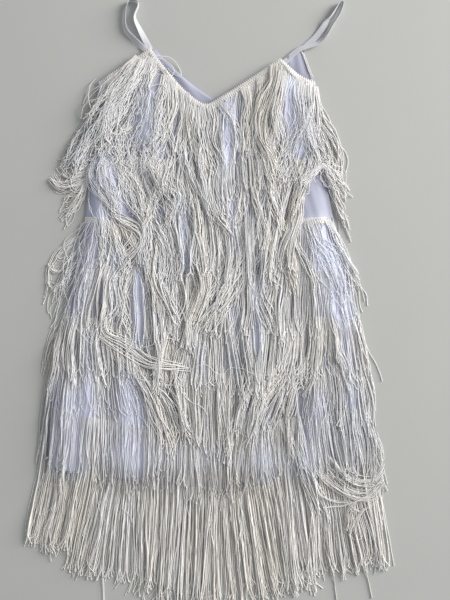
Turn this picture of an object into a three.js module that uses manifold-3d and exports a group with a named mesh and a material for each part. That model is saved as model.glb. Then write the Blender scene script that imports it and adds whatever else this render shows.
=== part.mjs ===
// A sleeveless fringed flapper dress, laid flat on its back on a surface.
//
// The frame: millimetres, +Z up, X across the dress, +Y towards the neck. The origin lies on the underside of the
// back panel, on the centre line at hip height. The dress rests on Z = 0.
//
// The dress is a tube of two panels that lie on each other, two elastic straps that run from the front to the back,
// and rows of cord fringe. Each row is a sewn tape with the cords hanging from it, which are gathered here into locks.
// The rows are laid from the hem up to the neck, and each one rests on what is under it.
import * as THREE from "three";
import { mergeVertices } from "three/addons/utils/BufferGeometryUtils.js";
import Module from "manifold-3d";

const wasm = await Module();
wasm.setup();

// ---------------------------------------------------------------- sizes

const CLOTH = 1.5; // the wall of a panel
const SEAM_GAP = 0.3; // between two pieces that are sewn together
const TAPE = { width: 6, thick: 1.2 };
const STRAP = { width: 8, thick: 1.2, stations: 26 };
const LOCK = { width: 9.5, thick: 2.4, clear: 0.5, uneven: [0, 0.24, 0.11, 0.35, 0.17] };
const FLOOR_CLEAR = 0.4; // from a fringe's lowest point to the surface
const SLIVER = 0.22; // what a joined solid's finest faces are cleaned to
const BACK_TOP = CLOTH;
const FRONT_UNDER = BACK_TOP + SEAM_GAP;
const FRONT_TOP = FRONT_UNDER + CLOTH;

// The side seams, from the underarm to the hem.
const SIDES = [
  { y: 292, left: -146, right: 146 },
  { y: 230, left: -154, right: 151 },
  { y: 174, left: -158, right: 157 },
  { y: 115, left: -163, right: 169 },
  { y: 54, left: -175, right: 186 },
  { y: -14, left: -188, right: 198 },
  { y: -78, left: -202, right: 205 },
  { y: -138, left: -210, right: 211 },
  { y: -198, left: -214, right: 214 },
  { y: -224, left: -215, right: 216 },
];

// The upper edge of each panel, from underarm to underarm. Each stretch ends at x, y, is cut into columns, and bows
// away from the straight line by bow, which is negative where the edge is cut into the cloth.
const UNDERARM = { x: -146, y: 292 };
const FRONT_EDGE = [
  { name: "left armhole", x: -85, y: 331, columns: 4, bow: -0.5 },
  { name: "left strap seat", x: -76, y: 337.5, columns: 1, bow: 0 },
  { name: "neck, left", x: 1, y: 260.5, columns: 5, bow: -7 },
  { name: "neck, right", x: 98.5, y: 323, columns: 5, bow: -1 },
  { name: "right strap seat", x: 107, y: 314.5, columns: 1, bow: 0 },
  { name: "right armhole", x: 146, y: 292, columns: 4, bow: -4 },
];
const BACK_EDGE = [
  { name: "left armhole", x: -81, y: 333.5, columns: 3, bow: -2 },
  { name: "left strap seat", x: -71.5, y: 340, columns: 1, bow: 0 },
  { name: "neck, left", x: 7, y: 274, columns: 4, bow: -4 },
  { name: "neck, right", x: 123, y: 341, columns: 4, bow: -4 },
  { name: "right strap seat", x: 132, y: 332, columns: 1, bow: 0 },
  { name: "right armhole", x: 146, y: 292, columns: 3, bow: -3 },
];

// The lines across the front panel that the fringe tapes follow: the height at the side seams, and how far the line
// hangs lower in the middle.
const TIERS = [
  { name: "fringe_tier_1", y: 190, drop: 4 },
  { name: "fringe_tier_2", y: 112, drop: 6 },
  { name: "fringe_tier_3", y: 50, drop: 10 },
  { name: "fringe_tier_4", y: -17, drop: 12 },
  { name: "fringe_tier_5", y: -82, drop: 16 },
  { name: "fringe_tier_6", y: -136, drop: 30 },
];
const HEM = { y: -224, drop: 26 };

// The front panel's larger folds: ridges from one point to another.
const FOLDS = [
  { from: [104, 296], to: [74, 190], height: 6, width: 15 },
  { from: [-58, 285], to: [-76, 180], height: 4, width: 17 },
  { from: [14, 235], to: [4, 120], height: 3, width: 20 },
  { from: [-120, 160], to: [-146, 20], height: 2.5, width: 18 },
  { from: [128, 120], to: [160, -60], height: 3, width: 18 },
  { from: [-186, -100], to: [-196, -226], height: 3.5, width: 11 },
  { from: [-154, -110], to: [-160, -240], height: 4, width: 12 },
  { from: [-64, -40], to: [-70, -245], height: 3, width: 18 },
  { from: [58, -60], to: [66, -245], height: 3, width: 18 },
  { from: [146, -120], to: [152, -240], height: 4, width: 13 },
];
const FOLD_FADE = { side: 26, end: 30 }; // where a fold runs out

// How each row of fringe lies. across is the share of the tape from left to right; root, middle and tip are the
// lock's lean there in degrees from straight down, towards +X; length is the lock's own.
const COMBS = {
  fringe_neckline: {
    locks: 28,
    lie: [
      { across: 0, root: -16, middle: -30, tip: -26, length: 118 },
      { across: 0.12, root: -30, middle: -34, tip: -36, length: 148 },
      { across: 0.24, root: -30, middle: -28, tip: -28, length: 145 },
      { across: 0.34, root: -14, middle: -4, tip: 8, length: 140 },
      { across: 0.44, root: -2, middle: 8, tip: 14, length: 140 },
      { across: 0.54, root: 0, middle: 3, tip: 6, length: 142 },
      { across: 0.66, root: -3, middle: 4, tip: 5, length: 145 },
      { across: 0.78, root: -9, middle: -4, tip: 6, length: 145 },
      { across: 0.86, root: -12, middle: -8, tip: 0, length: 140 },
      { across: 0.93, root: 2, middle: -4, tip: -8, length: 135 },
      { across: 1, root: 26, middle: 14, tip: -4, length: 138 },
    ],
  },
  fringe_tier_1: {
    locks: 23,
    lie: [
      { across: 0, root: -6, middle: 14, tip: -4, length: 145 },
      { across: 0.08, root: 10, middle: 30, tip: -6, length: 148 },
      { across: 0.22, root: 22, middle: 16, tip: -6, length: 148 },
      { across: 0.36, root: 16, middle: 4, tip: -10, length: 150 },
      { across: 0.5, root: -12, middle: 4, tip: 20, length: 150 },
      { across: 0.62, root: 4, middle: 0, tip: -12, length: 150 },
      { across: 0.76, root: 4, middle: -8, tip: -8, length: 150 },
      { across: 0.9, root: -18, middle: -14, tip: -4, length: 148 },
      { across: 1, root: -26, middle: -18, tip: -6, length: 145 },
    ],
  },
  fringe_tier_2: {
    locks: 24,
    lie: [
      { across: 0, root: -20, middle: -16, tip: -4, length: 140 },
      { across: 0.1, root: -12, middle: -12, tip: -4, length: 145 },
      { across: 0.26, root: 6, middle: 2, tip: -6, length: 150 },
      { across: 0.4, root: 4, middle: -4, tip: -8, length: 152 },
      { across: 0.52, root: -2, middle: -14, tip: -18, length: 152 },
      { across: 0.64, root: -4, middle: -16, tip: -14, length: 152 },
      { across: 0.78, root: -2, middle: -6, tip: 4, length: 150 },
      { across: 0.88, root: 2, middle: 2, tip: 6, length: 148 },
      { across: 1, root: 20, middle: 18, tip: 14, length: 145 },
    ],
  },
  fringe_tier_3: {
    locks: 25,
    lie: [
      { across: 0, root: -14, middle: -10, tip: -2, length: 145 },
      { across: 0.25, root: 2, middle: 4, tip: 2, length: 150 },
      { across: 0.44, root: -8, middle: -12, tip: -6, length: 152 },
      { across: 0.54, root: 8, middle: 8, tip: 2, length: 152 },
      { across: 0.8, root: 2, middle: -6, tip: -8, length: 150 },
      { across: 1, root: 16, middle: 14, tip: 10, length: 145 },
    ],
  },
  fringe_tier_4: {
    locks: 26,
    lie: [
      { across: 0, root: -10, middle: -9, tip: -8, length: 140 },
      { across: 0.1, root: 4, middle: 10, tip: 6, length: 120 },
      { across: 0.2, root: 18, middle: 38, tip: 44, length: 135 },
      { across: 0.32, root: 8, middle: 24, tip: 24, length: 150 },
      { across: 0.5, root: 0, middle: 0, tip: -4, length: 165 },
      { across: 0.64, root: -2, middle: -14, tip: -18, length: 165 },
      { across: 0.8, root: 0, middle: -20, tip: -22, length: 140 },
      { across: 0.87, root: 0, middle: -14, tip: -16, length: 125 },
      { across: 1, root: 14, middle: 11, tip: 9, length: 150 },
    ],
  },
  fringe_tier_5: {
    locks: 27,
    lie: [
      { across: 0, root: -9, middle: -7, tip: -6, length: 150 },
      { across: 0.18, root: 0, middle: -2, tip: -2, length: 155 },
      { across: 0.34, root: 6, middle: 3, tip: -4, length: 160 },
      { across: 0.5, root: 0, middle: 0, tip: 0, length: 165 },
      { across: 0.68, root: -5, middle: -4, tip: 2, length: 160 },
      { across: 0.88, root: 6, middle: 8, tip: 5, length: 155 },
      { across: 1, root: 12, middle: 9, tip: 6, length: 150 },
    ],
  },
  fringe_tier_6: {
    locks: 28,
    lie: [
      { across: 0, root: -12, middle: -16, tip: -14, length: 198 },
      { across: 0.15, root: -6, middle: -9, tip: -10, length: 208 },
      { across: 0.3, root: -3, middle: -6, tip: -8, length: 232 },
      { across: 0.5, root: 0, middle: 0, tip: 0, length: 252 },
      { across: 0.7, root: 5, middle: 8, tip: 8, length: 236 },
      { across: 0.85, root: 8, middle: 8, tip: 6, length: 222 },
      { across: 1, root: 9, middle: 9, tip: 7, length: 214 },
    ],
  },
  fringe_hem_back: {
    locks: 29,
    lie: [
      { across: 0, root: -18, middle: -18, tip: -16, length: 98 },
      { across: 0.15, root: -9, middle: -9, tip: -9, length: 112 },
      { across: 0.3, root: -6, middle: -7, tip: -8, length: 140 },
      { across: 0.5, root: 0, middle: 1, tip: 1, length: 160 },
      { across: 0.7, root: 6, middle: 8, tip: 8, length: 146 },
      { across: 0.85, root: 8, middle: 8, tip: 7, length: 132 },
      { across: 1, root: 14, middle: 12, tip: 8, length: 118 },
    ],
  },
};

// The ends of the back's rows, which come out from under the side seams. y is where the short tape begins and ends
// along the seam, side is -1 for the left seam.
const SIDE_FRINGES = [
  { name: "fringe_left_upper", side: -1, top: 256, bottom: 190, locks: 7, root: -34, middle: -30, tip: -16, length: 104 },
  { name: "fringe_left_hip", side: -1, top: 88, bottom: 40, locks: 4, root: -50, middle: -32, tip: -8, length: 88 },
  { name: "fringe_left_thigh", side: -1, top: 6, bottom: -48, locks: 4, root: -30, middle: -17, tip: -8, length: 100 },
  { name: "fringe_right_upper", side: 1, top: 272, bottom: 216, locks: 5, root: 30, middle: 14, tip: -4, length: 112 },
  { name: "fringe_right_waist", side: 1, top: 166, bottom: 128, locks: 4, root: 40, middle: 24, tip: 12, length: 62 },
  { name: "fringe_right_hip", side: 1, top: 84, bottom: 44, locks: 4, root: 24, middle: 20, tip: 15, length: 66 },
  { name: "fringe_right_thigh", side: 1, top: -2, bottom: -50, locks: 4, root: 18, middle: 14, tip: 12, length: 112 },
  { name: "fringe_right_hem", side: 1, top: -140, bottom: -200, locks: 5, root: 42, middle: 18, tip: -10, length: 86 },
];

// A strap leaves the front's seat, turns on its edge at the shoulder and comes back to the back's seat. lift is the
// height of its middle, and turn is how far it is turned from lying flat, in degrees.
const STRAP_LOW = SEAM_GAP + STRAP.thick / 2;
const STRAP_HIGH = FRONT_TOP - STRAP.thick / 2;
const STRAP_LEFT = [
  { x: -89, y: 343, lift: STRAP_HIGH, turn: 0 },
  { x: -100, y: 355, lift: 3.2, turn: 22 },
  { x: -109, y: 366, lift: 4.1, turn: 52 },
  { x: -113, y: 380, lift: 4.4, turn: 62 },
  { x: -111.5, y: 393, lift: 4.6, turn: 74 },
  { x: -106, y: 402.5, lift: 4.6, turn: 88 },
  { x: -95.5, y: 402.5, lift: 4.6, turn: 88 },
  { x: -92, y: 394, lift: 4.6, turn: 72 },
  { x: -97, y: 380, lift: 4.2, turn: 52 },
  { x: -90, y: 365, lift: 2.8, turn: 22 },
  { x: -81.5, y: 351, lift: STRAP_LOW, turn: 0 },
];
const STRAP_RIGHT = [
  { x: 119, y: 332, lift: STRAP_HIGH, turn: 0 },
  { x: 134, y: 340, lift: STRAP_HIGH, turn: 0 },
  { x: 149, y: 345, lift: STRAP_HIGH, turn: 0 },
  { x: 161, y: 353, lift: 3.4, turn: 24 },
  { x: 170.5, y: 366, lift: 4.2, turn: 50 },
  { x: 178, y: 380, lift: 4.4, turn: 62 },
  { x: 184.5, y: 391, lift: 4.6, turn: 78 },
  { x: 186, y: 398, lift: 4.6, turn: 88 },
  { x: 180, y: 398.5, lift: 4.6, turn: 88 },
  { x: 172, y: 388, lift: 4.3, turn: 62 },
  { x: 164.5, y: 376, lift: 3.2, turn: 30 },
  { x: 156, y: 365, lift: 1.6, turn: 8 },
  { x: 147, y: 354, lift: STRAP_LOW, turn: 0 },
  { x: 139, y: 346, lift: STRAP_LOW, turn: 0 },
];

// ---------------------------------------------------------------- materials

const cloth = (color, roughness) => new THREE.MeshStandardMaterial({ color, roughness, metalness: 0 });
const PANEL_CLOTH = cloth(0xd3d4e6, 0.5);
const STRAP_ELASTIC = cloth(0xdedee8, 0.6);
const FRINGE_CORD = cloth(0xdcdbd4, 0.55);

// ---------------------------------------------------------------- small tools

const lerp = THREE.MathUtils.lerp;
const radians = THREE.MathUtils.degToRad;
const smooth = (t) => THREE.MathUtils.smoothstep(t, 0, 1);

/** The values of a table's columns at one value of its key column, between the rows on either side. */
function between(table, key, at) {
  const falling = table[0][key] > table[table.length - 1][key];
  const next = table.findIndex((row) => (falling ? row[key] <= at : row[key] >= at));
  const b = table[next < 0 ? table.length - 1 : next];
  const a = table[Math.max(0, (next < 0 ? table.length - 1 : next) - 1)];
  const share = a === b ? 0 : (at - a[key]) / (b[key] - a[key]);
  const row = {};
  for (const column of Object.keys(b)) row[column] = lerp(a[column], b[column], share);
  return row;
}

/** A closed solid from a grid of upper points and a grid of lower points, both [row][column]. */
function wall(upper, lower) {
  const rows = upper.length;
  const columns = upper[0].length;
  const points = [...upper.flat(), ...lower.flat()];
  const top = (r, c) => r * columns + c;
  const under = (r, c) => rows * columns + r * columns + c;
  const faces = [];
  const quad = (a, b, c, d) => faces.push(a, b, c, a, c, d);
  for (let r = 0; r + 1 < rows; r++)
    for (let c = 0; c + 1 < columns; c++) {
      quad(top(r, c), top(r + 1, c), top(r + 1, c + 1), top(r, c + 1));
      quad(under(r, c), under(r, c + 1), under(r + 1, c + 1), under(r + 1, c));
    }
  for (let c = 0; c + 1 < columns; c++) {
    quad(top(0, c), top(0, c + 1), under(0, c + 1), under(0, c));
    quad(top(rows - 1, c + 1), top(rows - 1, c), under(rows - 1, c), under(rows - 1, c + 1));
  }
  for (let r = 0; r + 1 < rows; r++) {
    quad(top(r + 1, 0), top(r, 0), under(r, 0), under(r + 1, 0));
    quad(top(r, columns - 1), top(r + 1, columns - 1), under(r + 1, columns - 1), under(r, columns - 1));
  }
  return closed(points, faces);
}

/** A closed solid from rings of corners, one after another, with flat ends. */
function sweep(rings) {
  const sides = rings[0].length;
  const faces = [];
  const corner = (r, s) => r * sides + (s % sides);
  for (let r = 0; r + 1 < rings.length; r++)
    for (let s = 0; s < sides; s++) {
      faces.push(corner(r, s), corner(r, s + 1), corner(r + 1, s + 1));
      faces.push(corner(r, s), corner(r + 1, s + 1), corner(r + 1, s));
    }
  for (let s = 1; s + 1 < sides; s++) {
    faces.push(corner(0, 0), corner(0, s + 1), corner(0, s));
    faces.push(corner(rings.length - 1, 0), corner(rings.length - 1, s), corner(rings.length - 1, s + 1));
  }
  return closed(rings.flat(), faces);
}

function closed(points, faces) {
  const geometry = new THREE.BufferGeometry();
  geometry.setAttribute("position", new THREE.Float32BufferAttribute(points.flatMap((p) => [p.x, p.y, p.z]), 3));
  geometry.setIndex(faces);
  return geometry;
}

/** A geometry as a solid that manifold-3d can join. */
function solidOf(geometry) {
  const merged = mergeVertices(geometry, 1e-4);
  const mesh = new wasm.Mesh({
    numProp: 3,
    vertProperties: new Float32Array(merged.attributes.position.array),
    triVerts: new Uint32Array(merged.index.array),
  });
  return new wasm.Manifold(mesh);
}

/** The outer shell of a solid, as a geometry. */
function outerShell(solid) {
  const mesh = solid
    .decompose()
    .reduce((a, b) => (a.volume() > b.volume() ? a : b))
    .getMesh();
  const geometry = new THREE.BufferGeometry();
  geometry.setAttribute("position", new THREE.BufferAttribute(new Float32Array(mesh.vertProperties), 3));
  geometry.setIndex(new THREE.BufferAttribute(new Uint32Array(mesh.triVerts), 1));
  return geometry;
}

/** The union of closed geometries, as one geometry with no hollows inside. */
function joined(geometries) {
  const union = wasm.Manifold.union(geometries.map(solidOf)).simplify(SLIVER);
  return outerShell(solidOf(outerShell(union)));
}

/** The height of what has been laid so far, over a grid of small cells. */
class Pile {
  static CELL = 3;
  static REACH = 450;

  constructor() {
    this.size = Math.ceil((2 * Pile.REACH) / Pile.CELL);
    this.top = new Float32Array(this.size * this.size);
  }

  cell(value) {
    return THREE.MathUtils.clamp(Math.floor((value + Pile.REACH) / Pile.CELL), 1, this.size - 2);
  }

  height(x, y) {
    return this.top[this.cell(y) * this.size + this.cell(x)];
  }

  /** Raises the cells at and around a point. */
  raise(x, y, z) {
    for (let j = -1; j <= 1; j++)
      for (let i = -1; i <= 1; i++) {
        const at = (this.cell(y) + j) * this.size + this.cell(x) + i;
        this.top[at] = Math.max(this.top[at], z);
      }
  }

  /** Lays a geometry on the pile. */
  lay(geometry) {
    const position = geometry.attributes.position;
    const [a, b, c, p] = [0, 0, 0, 0].map(() => new THREE.Vector3());
    for (let f = 0; f < geometry.index.count; f += 3) {
      [a, b, c].forEach((corner, k) => corner.fromBufferAttribute(position, geometry.index.getX(f + k)));
      const steps = Math.ceil(Math.max(a.distanceTo(b), b.distanceTo(c), c.distanceTo(a)) / (Pile.CELL * 0.7));
      for (let i = 0; i <= steps; i++)
        for (let j = 0; i + j <= steps; j++) {
          p.copy(a).multiplyScalar(1 - (i + j) / steps);
          p.addScaledVector(b, i / steps).addScaledVector(c, j / steps);
          this.raise(p.x, p.y, p.z);
        }
    }
  }
}

// ---------------------------------------------------------------- panels

/** The points along a panel's upper edge, one for each column. */
function upperEdge(stretches) {
  const points = [new THREE.Vector2(UNDERARM.x, UNDERARM.y)];
  for (const { x, y, columns, bow } of stretches) {
    const start = points[points.length - 1];
    const end = new THREE.Vector2(x, y);
    const outwards = new THREE.Vector2(start.y - end.y, end.x - start.x).normalize();
    for (let i = 1; i <= columns; i++) {
      const share = i / columns;
      points.push(start.clone().lerp(end, share).addScaledVector(outwards, bow * 4 * share * (1 - share)));
    }
  }
  return points;
}

/** A line across a panel from seam to seam, which hangs lower in the middle. */
function across(line, columns) {
  const side = between(SIDES, "y", line.y);
  return Array.from({ length: columns }, (_, c) => {
    const share = c / (columns - 1);
    return new THREE.Vector2(lerp(side.left, side.right, share), line.y - line.drop * 4 * share * (1 - share));
  });
}

const mixed = (a, b, share) => a.map((p, i) => p.clone().lerp(b[i], share));
const lowered = (row, by) => row.map((p) => new THREE.Vector2(p.x, p.y - by));

/** How far the front panel stands up from lying flat. */
function foldHeight(x, y) {
  const side = between(SIDES, "y", y);
  const inside = smooth(Math.min(x - side.left, side.right - x) / FOLD_FADE.side);
  let height = 0;
  for (const fold of FOLDS) {
    const line = new THREE.Line3(new THREE.Vector3(...fold.from, 0), new THREE.Vector3(...fold.to, 0));
    const share = line.closestPointToPointParameter(new THREE.Vector3(x, y, 0), false);
    const away = line.at(share, new THREE.Vector3()).distanceTo(new THREE.Vector3(x, y, 0));
    const past = Math.max(0, -share, share - 1) * line.distance();
    height += fold.height * Math.exp(-((away / fold.width) ** 2)) * smooth(1 - past / FOLD_FADE.end);
  }
  return height * inside;
}

const EDGE_TAPE_DROP = 8; // the neck tape's lower edge, straight down from the panel's edge
const frontEdge = upperEdge(FRONT_EDGE);
const frontColumns = frontEdge.length;

/** The rows of the front panel's points, and for each tape the index of the row at its upper edge. */
function frontRows() {
  const rows = [frontEdge, lowered(frontEdge, EDGE_TAPE_DROP)];
  const tapeRow = { fringe_neckline: 0 };
  for (const tier of TIERS) {
    const upper = across(tier, frontColumns);
    const above = rows[rows.length - 1];
    const steps = tier === TIERS[0] ? 3 : 2;
    for (let s = 1; s < steps; s++) rows.push(mixed(above, upper, s / steps));
    tapeRow[tier.name] = rows.length;
    rows.push(upper, lowered(upper, TAPE.width));
  }
  const hem = across(HEM, frontColumns);
  rows.push(mixed(rows[rows.length - 1], hem, 0.5), hem);
  return { rows, tapeRow };
}

const { rows: FRONT_ROWS, tapeRow: TAPE_ROW } = frontRows();
const frontPoint = (p, above) => new THREE.Vector3(p.x, p.y, FRONT_TOP + above + foldHeight(p.x, p.y));
const frontPanel = wall(
  FRONT_ROWS.map((row) => row.map((p) => frontPoint(p, 0))),
  FRONT_ROWS.map((row) => row.map((p) => frontPoint(p, -CLOTH))),
);

const backEdge = upperEdge(BACK_EDGE);
const backHem = across(HEM, backEdge.length);
const BACK_ROWS = [backEdge, ...SIDES.slice(1, -1).map(({ y }) => across({ y, drop: 4 }, backEdge.length)), backHem];
const backAt = (z) => BACK_ROWS.map((row) => row.map((p) => new THREE.Vector3(p.x, p.y, z)));
const backPanel = wall(backAt(BACK_TOP), backAt(0));

// ---------------------------------------------------------------- straps

/** A strap's end: the middle of the seat that it is sewn to, moved off the panel's edge, and the way it leaves. */
function seat(edge, stretches, name) {
  const last = stretches.slice(0, stretches.findIndex((s) => s.name === name) + 1).reduce((n, s) => n + s.columns, 0);
  const [a, b] = [edge[last - 1], edge[last]];
  const away = new THREE.Vector2(a.y - b.y, b.x - a.x).normalize();
  return (off) => a.clone().lerp(b, 0.5).addScaledVector(away, off);
}

function strap(route, front, back) {
  const LEAVES = 7; // how far the strap runs straight out of its seat
  const end = (point, lift) => ({ x: point.x, y: point.y, lift, turn: 0 });
  const stops = [
    end(front(SEAM_GAP * 1.5), STRAP_HIGH),
    end(front(LEAVES), STRAP_HIGH),
    ...route,
    end(back(LEAVES), STRAP_LOW),
    end(back(SEAM_GAP * 1.5), STRAP_LOW),
  ];
  const middle = new THREE.CatmullRomCurve3(stops.map((s) => new THREE.Vector3(s.x, s.y, s.lift)), false, "centripetal");
  const turns = new THREE.CatmullRomCurve3(stops.map((s) => new THREE.Vector3(s.turn, 0, 0)), false, "centripetal");
  const rings = [];
  for (let i = 0; i <= STRAP.stations; i++) {
    const t = i / STRAP.stations;
    const p = middle.getPoint(t);
    const along = middle.getTangent(t);
    const side = new THREE.Vector3(along.y, -along.x, 0).normalize();
    const turn = radians(turns.getPoint(t).x);
    const wide = side.multiplyScalar(Math.cos(turn)).add(new THREE.Vector3(0, 0, Math.sin(turn)));
    const thick = wide.clone().cross(along).normalize();
    const corner = (w, h) =>
      p.clone().addScaledVector(wide, (w * STRAP.width) / 2).addScaledVector(thick, (h * STRAP.thick) / 2);
    rings.push([corner(-1, -1), corner(-1, 1), corner(1, 1), corner(1, -1)]);
  }
  return sweep(rings);
}

// ---------------------------------------------------------------- fringe

const pile = new Pile();

/** A lock of cords, laid on the pile with a little clearance. root is its first point, inside the tape. */
function lock(root, lie, width, clear) {
  const STOPS = [0, 0.09, 0.32, 0.55, 0.78, 1]; // shares of its length
  const FULLNESS = [0.55, 0.85, 1, 1, 0.85, 0.4];
  const lean = (t) => radians(t < 0.5 ? lerp(lie.root, lie.middle, t * 2) : lerp(lie.middle, lie.tip, t * 2 - 1));
  const line = [new THREE.Vector2(root.x, root.y)];
  for (let i = 1; i < STOPS.length; i++) {
    const angle = lean((STOPS[i] + STOPS[i - 1]) / 2);
    const step = (STOPS[i] - STOPS[i - 1]) * lie.length;
    line.push(line[i - 1].clone().add(new THREE.Vector2(Math.sin(angle), -Math.cos(angle)).multiplyScalar(step)));
  }
  const side = line.map((_, i) => {
    const along = line[Math.min(i + 1, line.length - 1)].clone().sub(line[Math.max(i - 1, 0)]).normalize();
    return new THREE.Vector2(-along.y, along.x);
  });
  // The highest point of the pile under the stretches on either side of a stop.
  const under = (i) => {
    let highest = 0;
    for (let k = Math.max(i - 1, 0); k < Math.min(i + 1, line.length - 1); k++) {
      const steps = Math.ceil(line[k].distanceTo(line[k + 1]) / Pile.CELL);
      for (let s = 0; s <= steps; s++)
        for (const w of [-0.5, 0, 0.5]) {
          const p = line[k].clone().lerp(line[k + 1], s / steps).addScaledVector(side[k], w * width);
          highest = Math.max(highest, pile.height(p.x, p.y));
        }
    }
    return highest;
  };
  const rings = line.map((p, i) => {
    const z = i === 0 ? root.z : under(i) + clear;
    const half = (width / 2) * FULLNESS[i];
    const thick = i === 0 ? TAPE.thick * 0.5 : LOCK.thick * FULLNESS[i];
    return [
      new THREE.Vector3(p.x - side[i].x * half, p.y - side[i].y * half, z),
      new THREE.Vector3(p.x + side[i].x * half, p.y + side[i].y * half, z),
      new THREE.Vector3(p.x, p.y, z + thick),
    ];
  });
  return sweep(rings);
}

/** A row of fringe: a tape from its upper and lower edges, at its underside, with the locks that hang from it. */
function fringe(upper, lower, comb) {
  const raised = (row) => row.map((p) => new THREE.Vector3(p.x, p.y, p.z + TAPE.thick));
  const tape = wall([raised(upper), raised(lower)], [upper, lower]);
  const middle = upper.map((p, i) => p.clone().lerp(lower[i], 0.55));
  const path = new THREE.CurvePath();
  for (let i = 0; i + 1 < middle.length; i++) path.add(new THREE.LineCurve3(middle[i], middle[i + 1]));
  const locks = Array.from({ length: comb.locks }, (_, i) => {
    const share = (i + 0.5) / comb.locks;
    const root = path.getPointAt(share);
    const uneven = LOCK.uneven[i % LOCK.uneven.length];
    root.z += TAPE.thick * 0.3 + uneven * 0.5;
    return lock(root, between(comb.lie, "across", share), comb.width ?? LOCK.width, LOCK.clear + uneven);
  });
  return joined([tape, ...locks]);
}

/** A row that is sewn on the front panel, made from the panel's own points, moved out. */
function frontFringe(name) {
  const [upper, lower] = [0, 1].map((k) => FRONT_ROWS[TAPE_ROW[name] + k].map((p) => frontPoint(p, SEAM_GAP)));
  return fringe(upper, lower, COMBS[name]);
}

/** The row along the back's hem. Its tape is parted from the cloth's edge and hangs past it. */
function hemFringe() {
  const at = (drop) => backHem.map((p) => new THREE.Vector3(p.x, p.y - drop, FLOOR_CLEAR));
  return fringe(at(SEAM_GAP * 1.5), at(SEAM_GAP * 1.5 + TAPE.width), COMBS.fringe_hem_back);
}

/** A short end of one of the back's rows, along a side seam. */
function sideFringe(spec) {
  const STEPS = 4;
  const at = (out) =>
    Array.from({ length: STEPS + 1 }, (_, i) => {
      const y = lerp(spec.top, spec.bottom, i / STEPS);
      const seam = between(SIDES, "y", y)[spec.side < 0 ? "left" : "right"];
      return new THREE.Vector3(seam + spec.side * out, y, FLOOR_CLEAR);
    });
  const near = at(SEAM_GAP * 1.2);
  const far = at(SEAM_GAP * 1.2 + TAPE.width * 0.7);
  const { root, middle, tip, length } = spec;
  const lie = [0, 1].map((across) => ({ across, root, middle, tip, length }));
  const comb = { locks: spec.locks, lie, width: LOCK.width * 0.6 };
  return spec.side < 0 ? fringe(near, far, comb) : fringe(far, near, comb);
}

// ---------------------------------------------------------------- the dress

const dress = new THREE.Group();

function add(name, geometry, material) {
  const mesh = new THREE.Mesh(geometry, material);
  mesh.name = name;
  dress.add(mesh);
  pile.lay(geometry);
}

add("fringe_hem_back", hemFringe(), FRINGE_CORD);
for (const spec of SIDE_FRINGES) add(spec.name, sideFringe(spec), FRINGE_CORD);
add("back_panel", backPanel, PANEL_CLOTH);
add("front_panel", frontPanel, PANEL_CLOTH);
add(
  "strap_left",
  strap(STRAP_LEFT, seat(frontEdge, FRONT_EDGE, "left strap seat"), seat(backEdge, BACK_EDGE, "left strap seat")),
  STRAP_ELASTIC,
);
add(
  "strap_right",
  strap(STRAP_RIGHT, seat(frontEdge, FRONT_EDGE, "right strap seat"), seat(backEdge, BACK_EDGE, "right strap seat")),
  STRAP_ELASTIC,
);
for (const tier of [...TIERS].reverse()) add(tier.name, frontFringe(tier.name), FRINGE_CORD);
add("fringe_neckline", frontFringe("fringe_neckline"), FRINGE_CORD);

export default dress;
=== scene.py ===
"""A sleeveless fringed flapper dress, laid flat on its back on a pale floor.

Lengths are in millimetres until a mesh is made. +X runs across the dress, +Y towards the neck and +Z up.
"""

import logging
import math
from dataclasses import dataclass, field
from enum import Enum
from typing import Callable, NamedTuple, Sequence

import bpy
import numpy as np
from bpy.types import Material, Mesh, Node, NodeOutputs, NodeSocket, NodeTree, Object
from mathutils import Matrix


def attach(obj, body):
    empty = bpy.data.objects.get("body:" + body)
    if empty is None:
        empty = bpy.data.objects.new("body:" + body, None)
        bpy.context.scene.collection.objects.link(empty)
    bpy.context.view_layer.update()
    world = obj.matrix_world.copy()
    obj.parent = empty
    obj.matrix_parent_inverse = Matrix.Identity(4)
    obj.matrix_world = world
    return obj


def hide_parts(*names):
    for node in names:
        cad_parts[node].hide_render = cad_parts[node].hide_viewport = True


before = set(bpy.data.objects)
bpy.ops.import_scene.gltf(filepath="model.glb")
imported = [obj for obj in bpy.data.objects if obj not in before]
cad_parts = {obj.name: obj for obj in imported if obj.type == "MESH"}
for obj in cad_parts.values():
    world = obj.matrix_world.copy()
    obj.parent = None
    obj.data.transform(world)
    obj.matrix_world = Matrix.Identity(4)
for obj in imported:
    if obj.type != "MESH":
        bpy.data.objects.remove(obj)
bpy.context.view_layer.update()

logging.basicConfig(level=logging.INFO, format="%(levelname)s %(name)s: %(message)s")
LOG = logging.getLogger("flapper_dress")
MM = 0.001
# Points down and across a panel: where it is laid on the pile, and where its cut is measured.
FINE_GRID = (900, 620)
CUT_GRID = (200, 200)
Array = np.ndarray
Height = Callable[[Array, Array], Array]
Colour = tuple[float, float, float]
Inputs = dict[str | int, object]
Feeds = dict[str | int, NodeSocket]


# ---------------------------------------------------------------- named options


class Side(Enum):
    """A side of the dress, as it lies, seen from above."""

    LEFT = -1
    RIGHT = 1


class Slot(Enum):
    """The record's material slots."""

    PANEL = "panel_cloth"
    STRAP = "strap_elastic"
    CORD = "fringe_cord"


# ---------------------------------------------------------------- sizes and tables


class Stretch(NamedTuple):
    """A stretch of a panel's upper edge: where it ends, and how far it bows out of a straight line."""

    x: float
    y: float
    bow: float


class SeamPoint(NamedTuple):
    """A height on the side seams, and where each seam is there."""

    y: float
    left: float
    right: float


class Tier(NamedTuple):
    """A line across the front that a fringe tape follows."""

    name: str
    y: float
    drop: float


class Fold(NamedTuple):
    """A ridge (or with a negative height, a valley) in a panel, from one point to another."""

    x0: float
    y0: float
    x1: float
    y1: float
    height: float
    width: float


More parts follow.
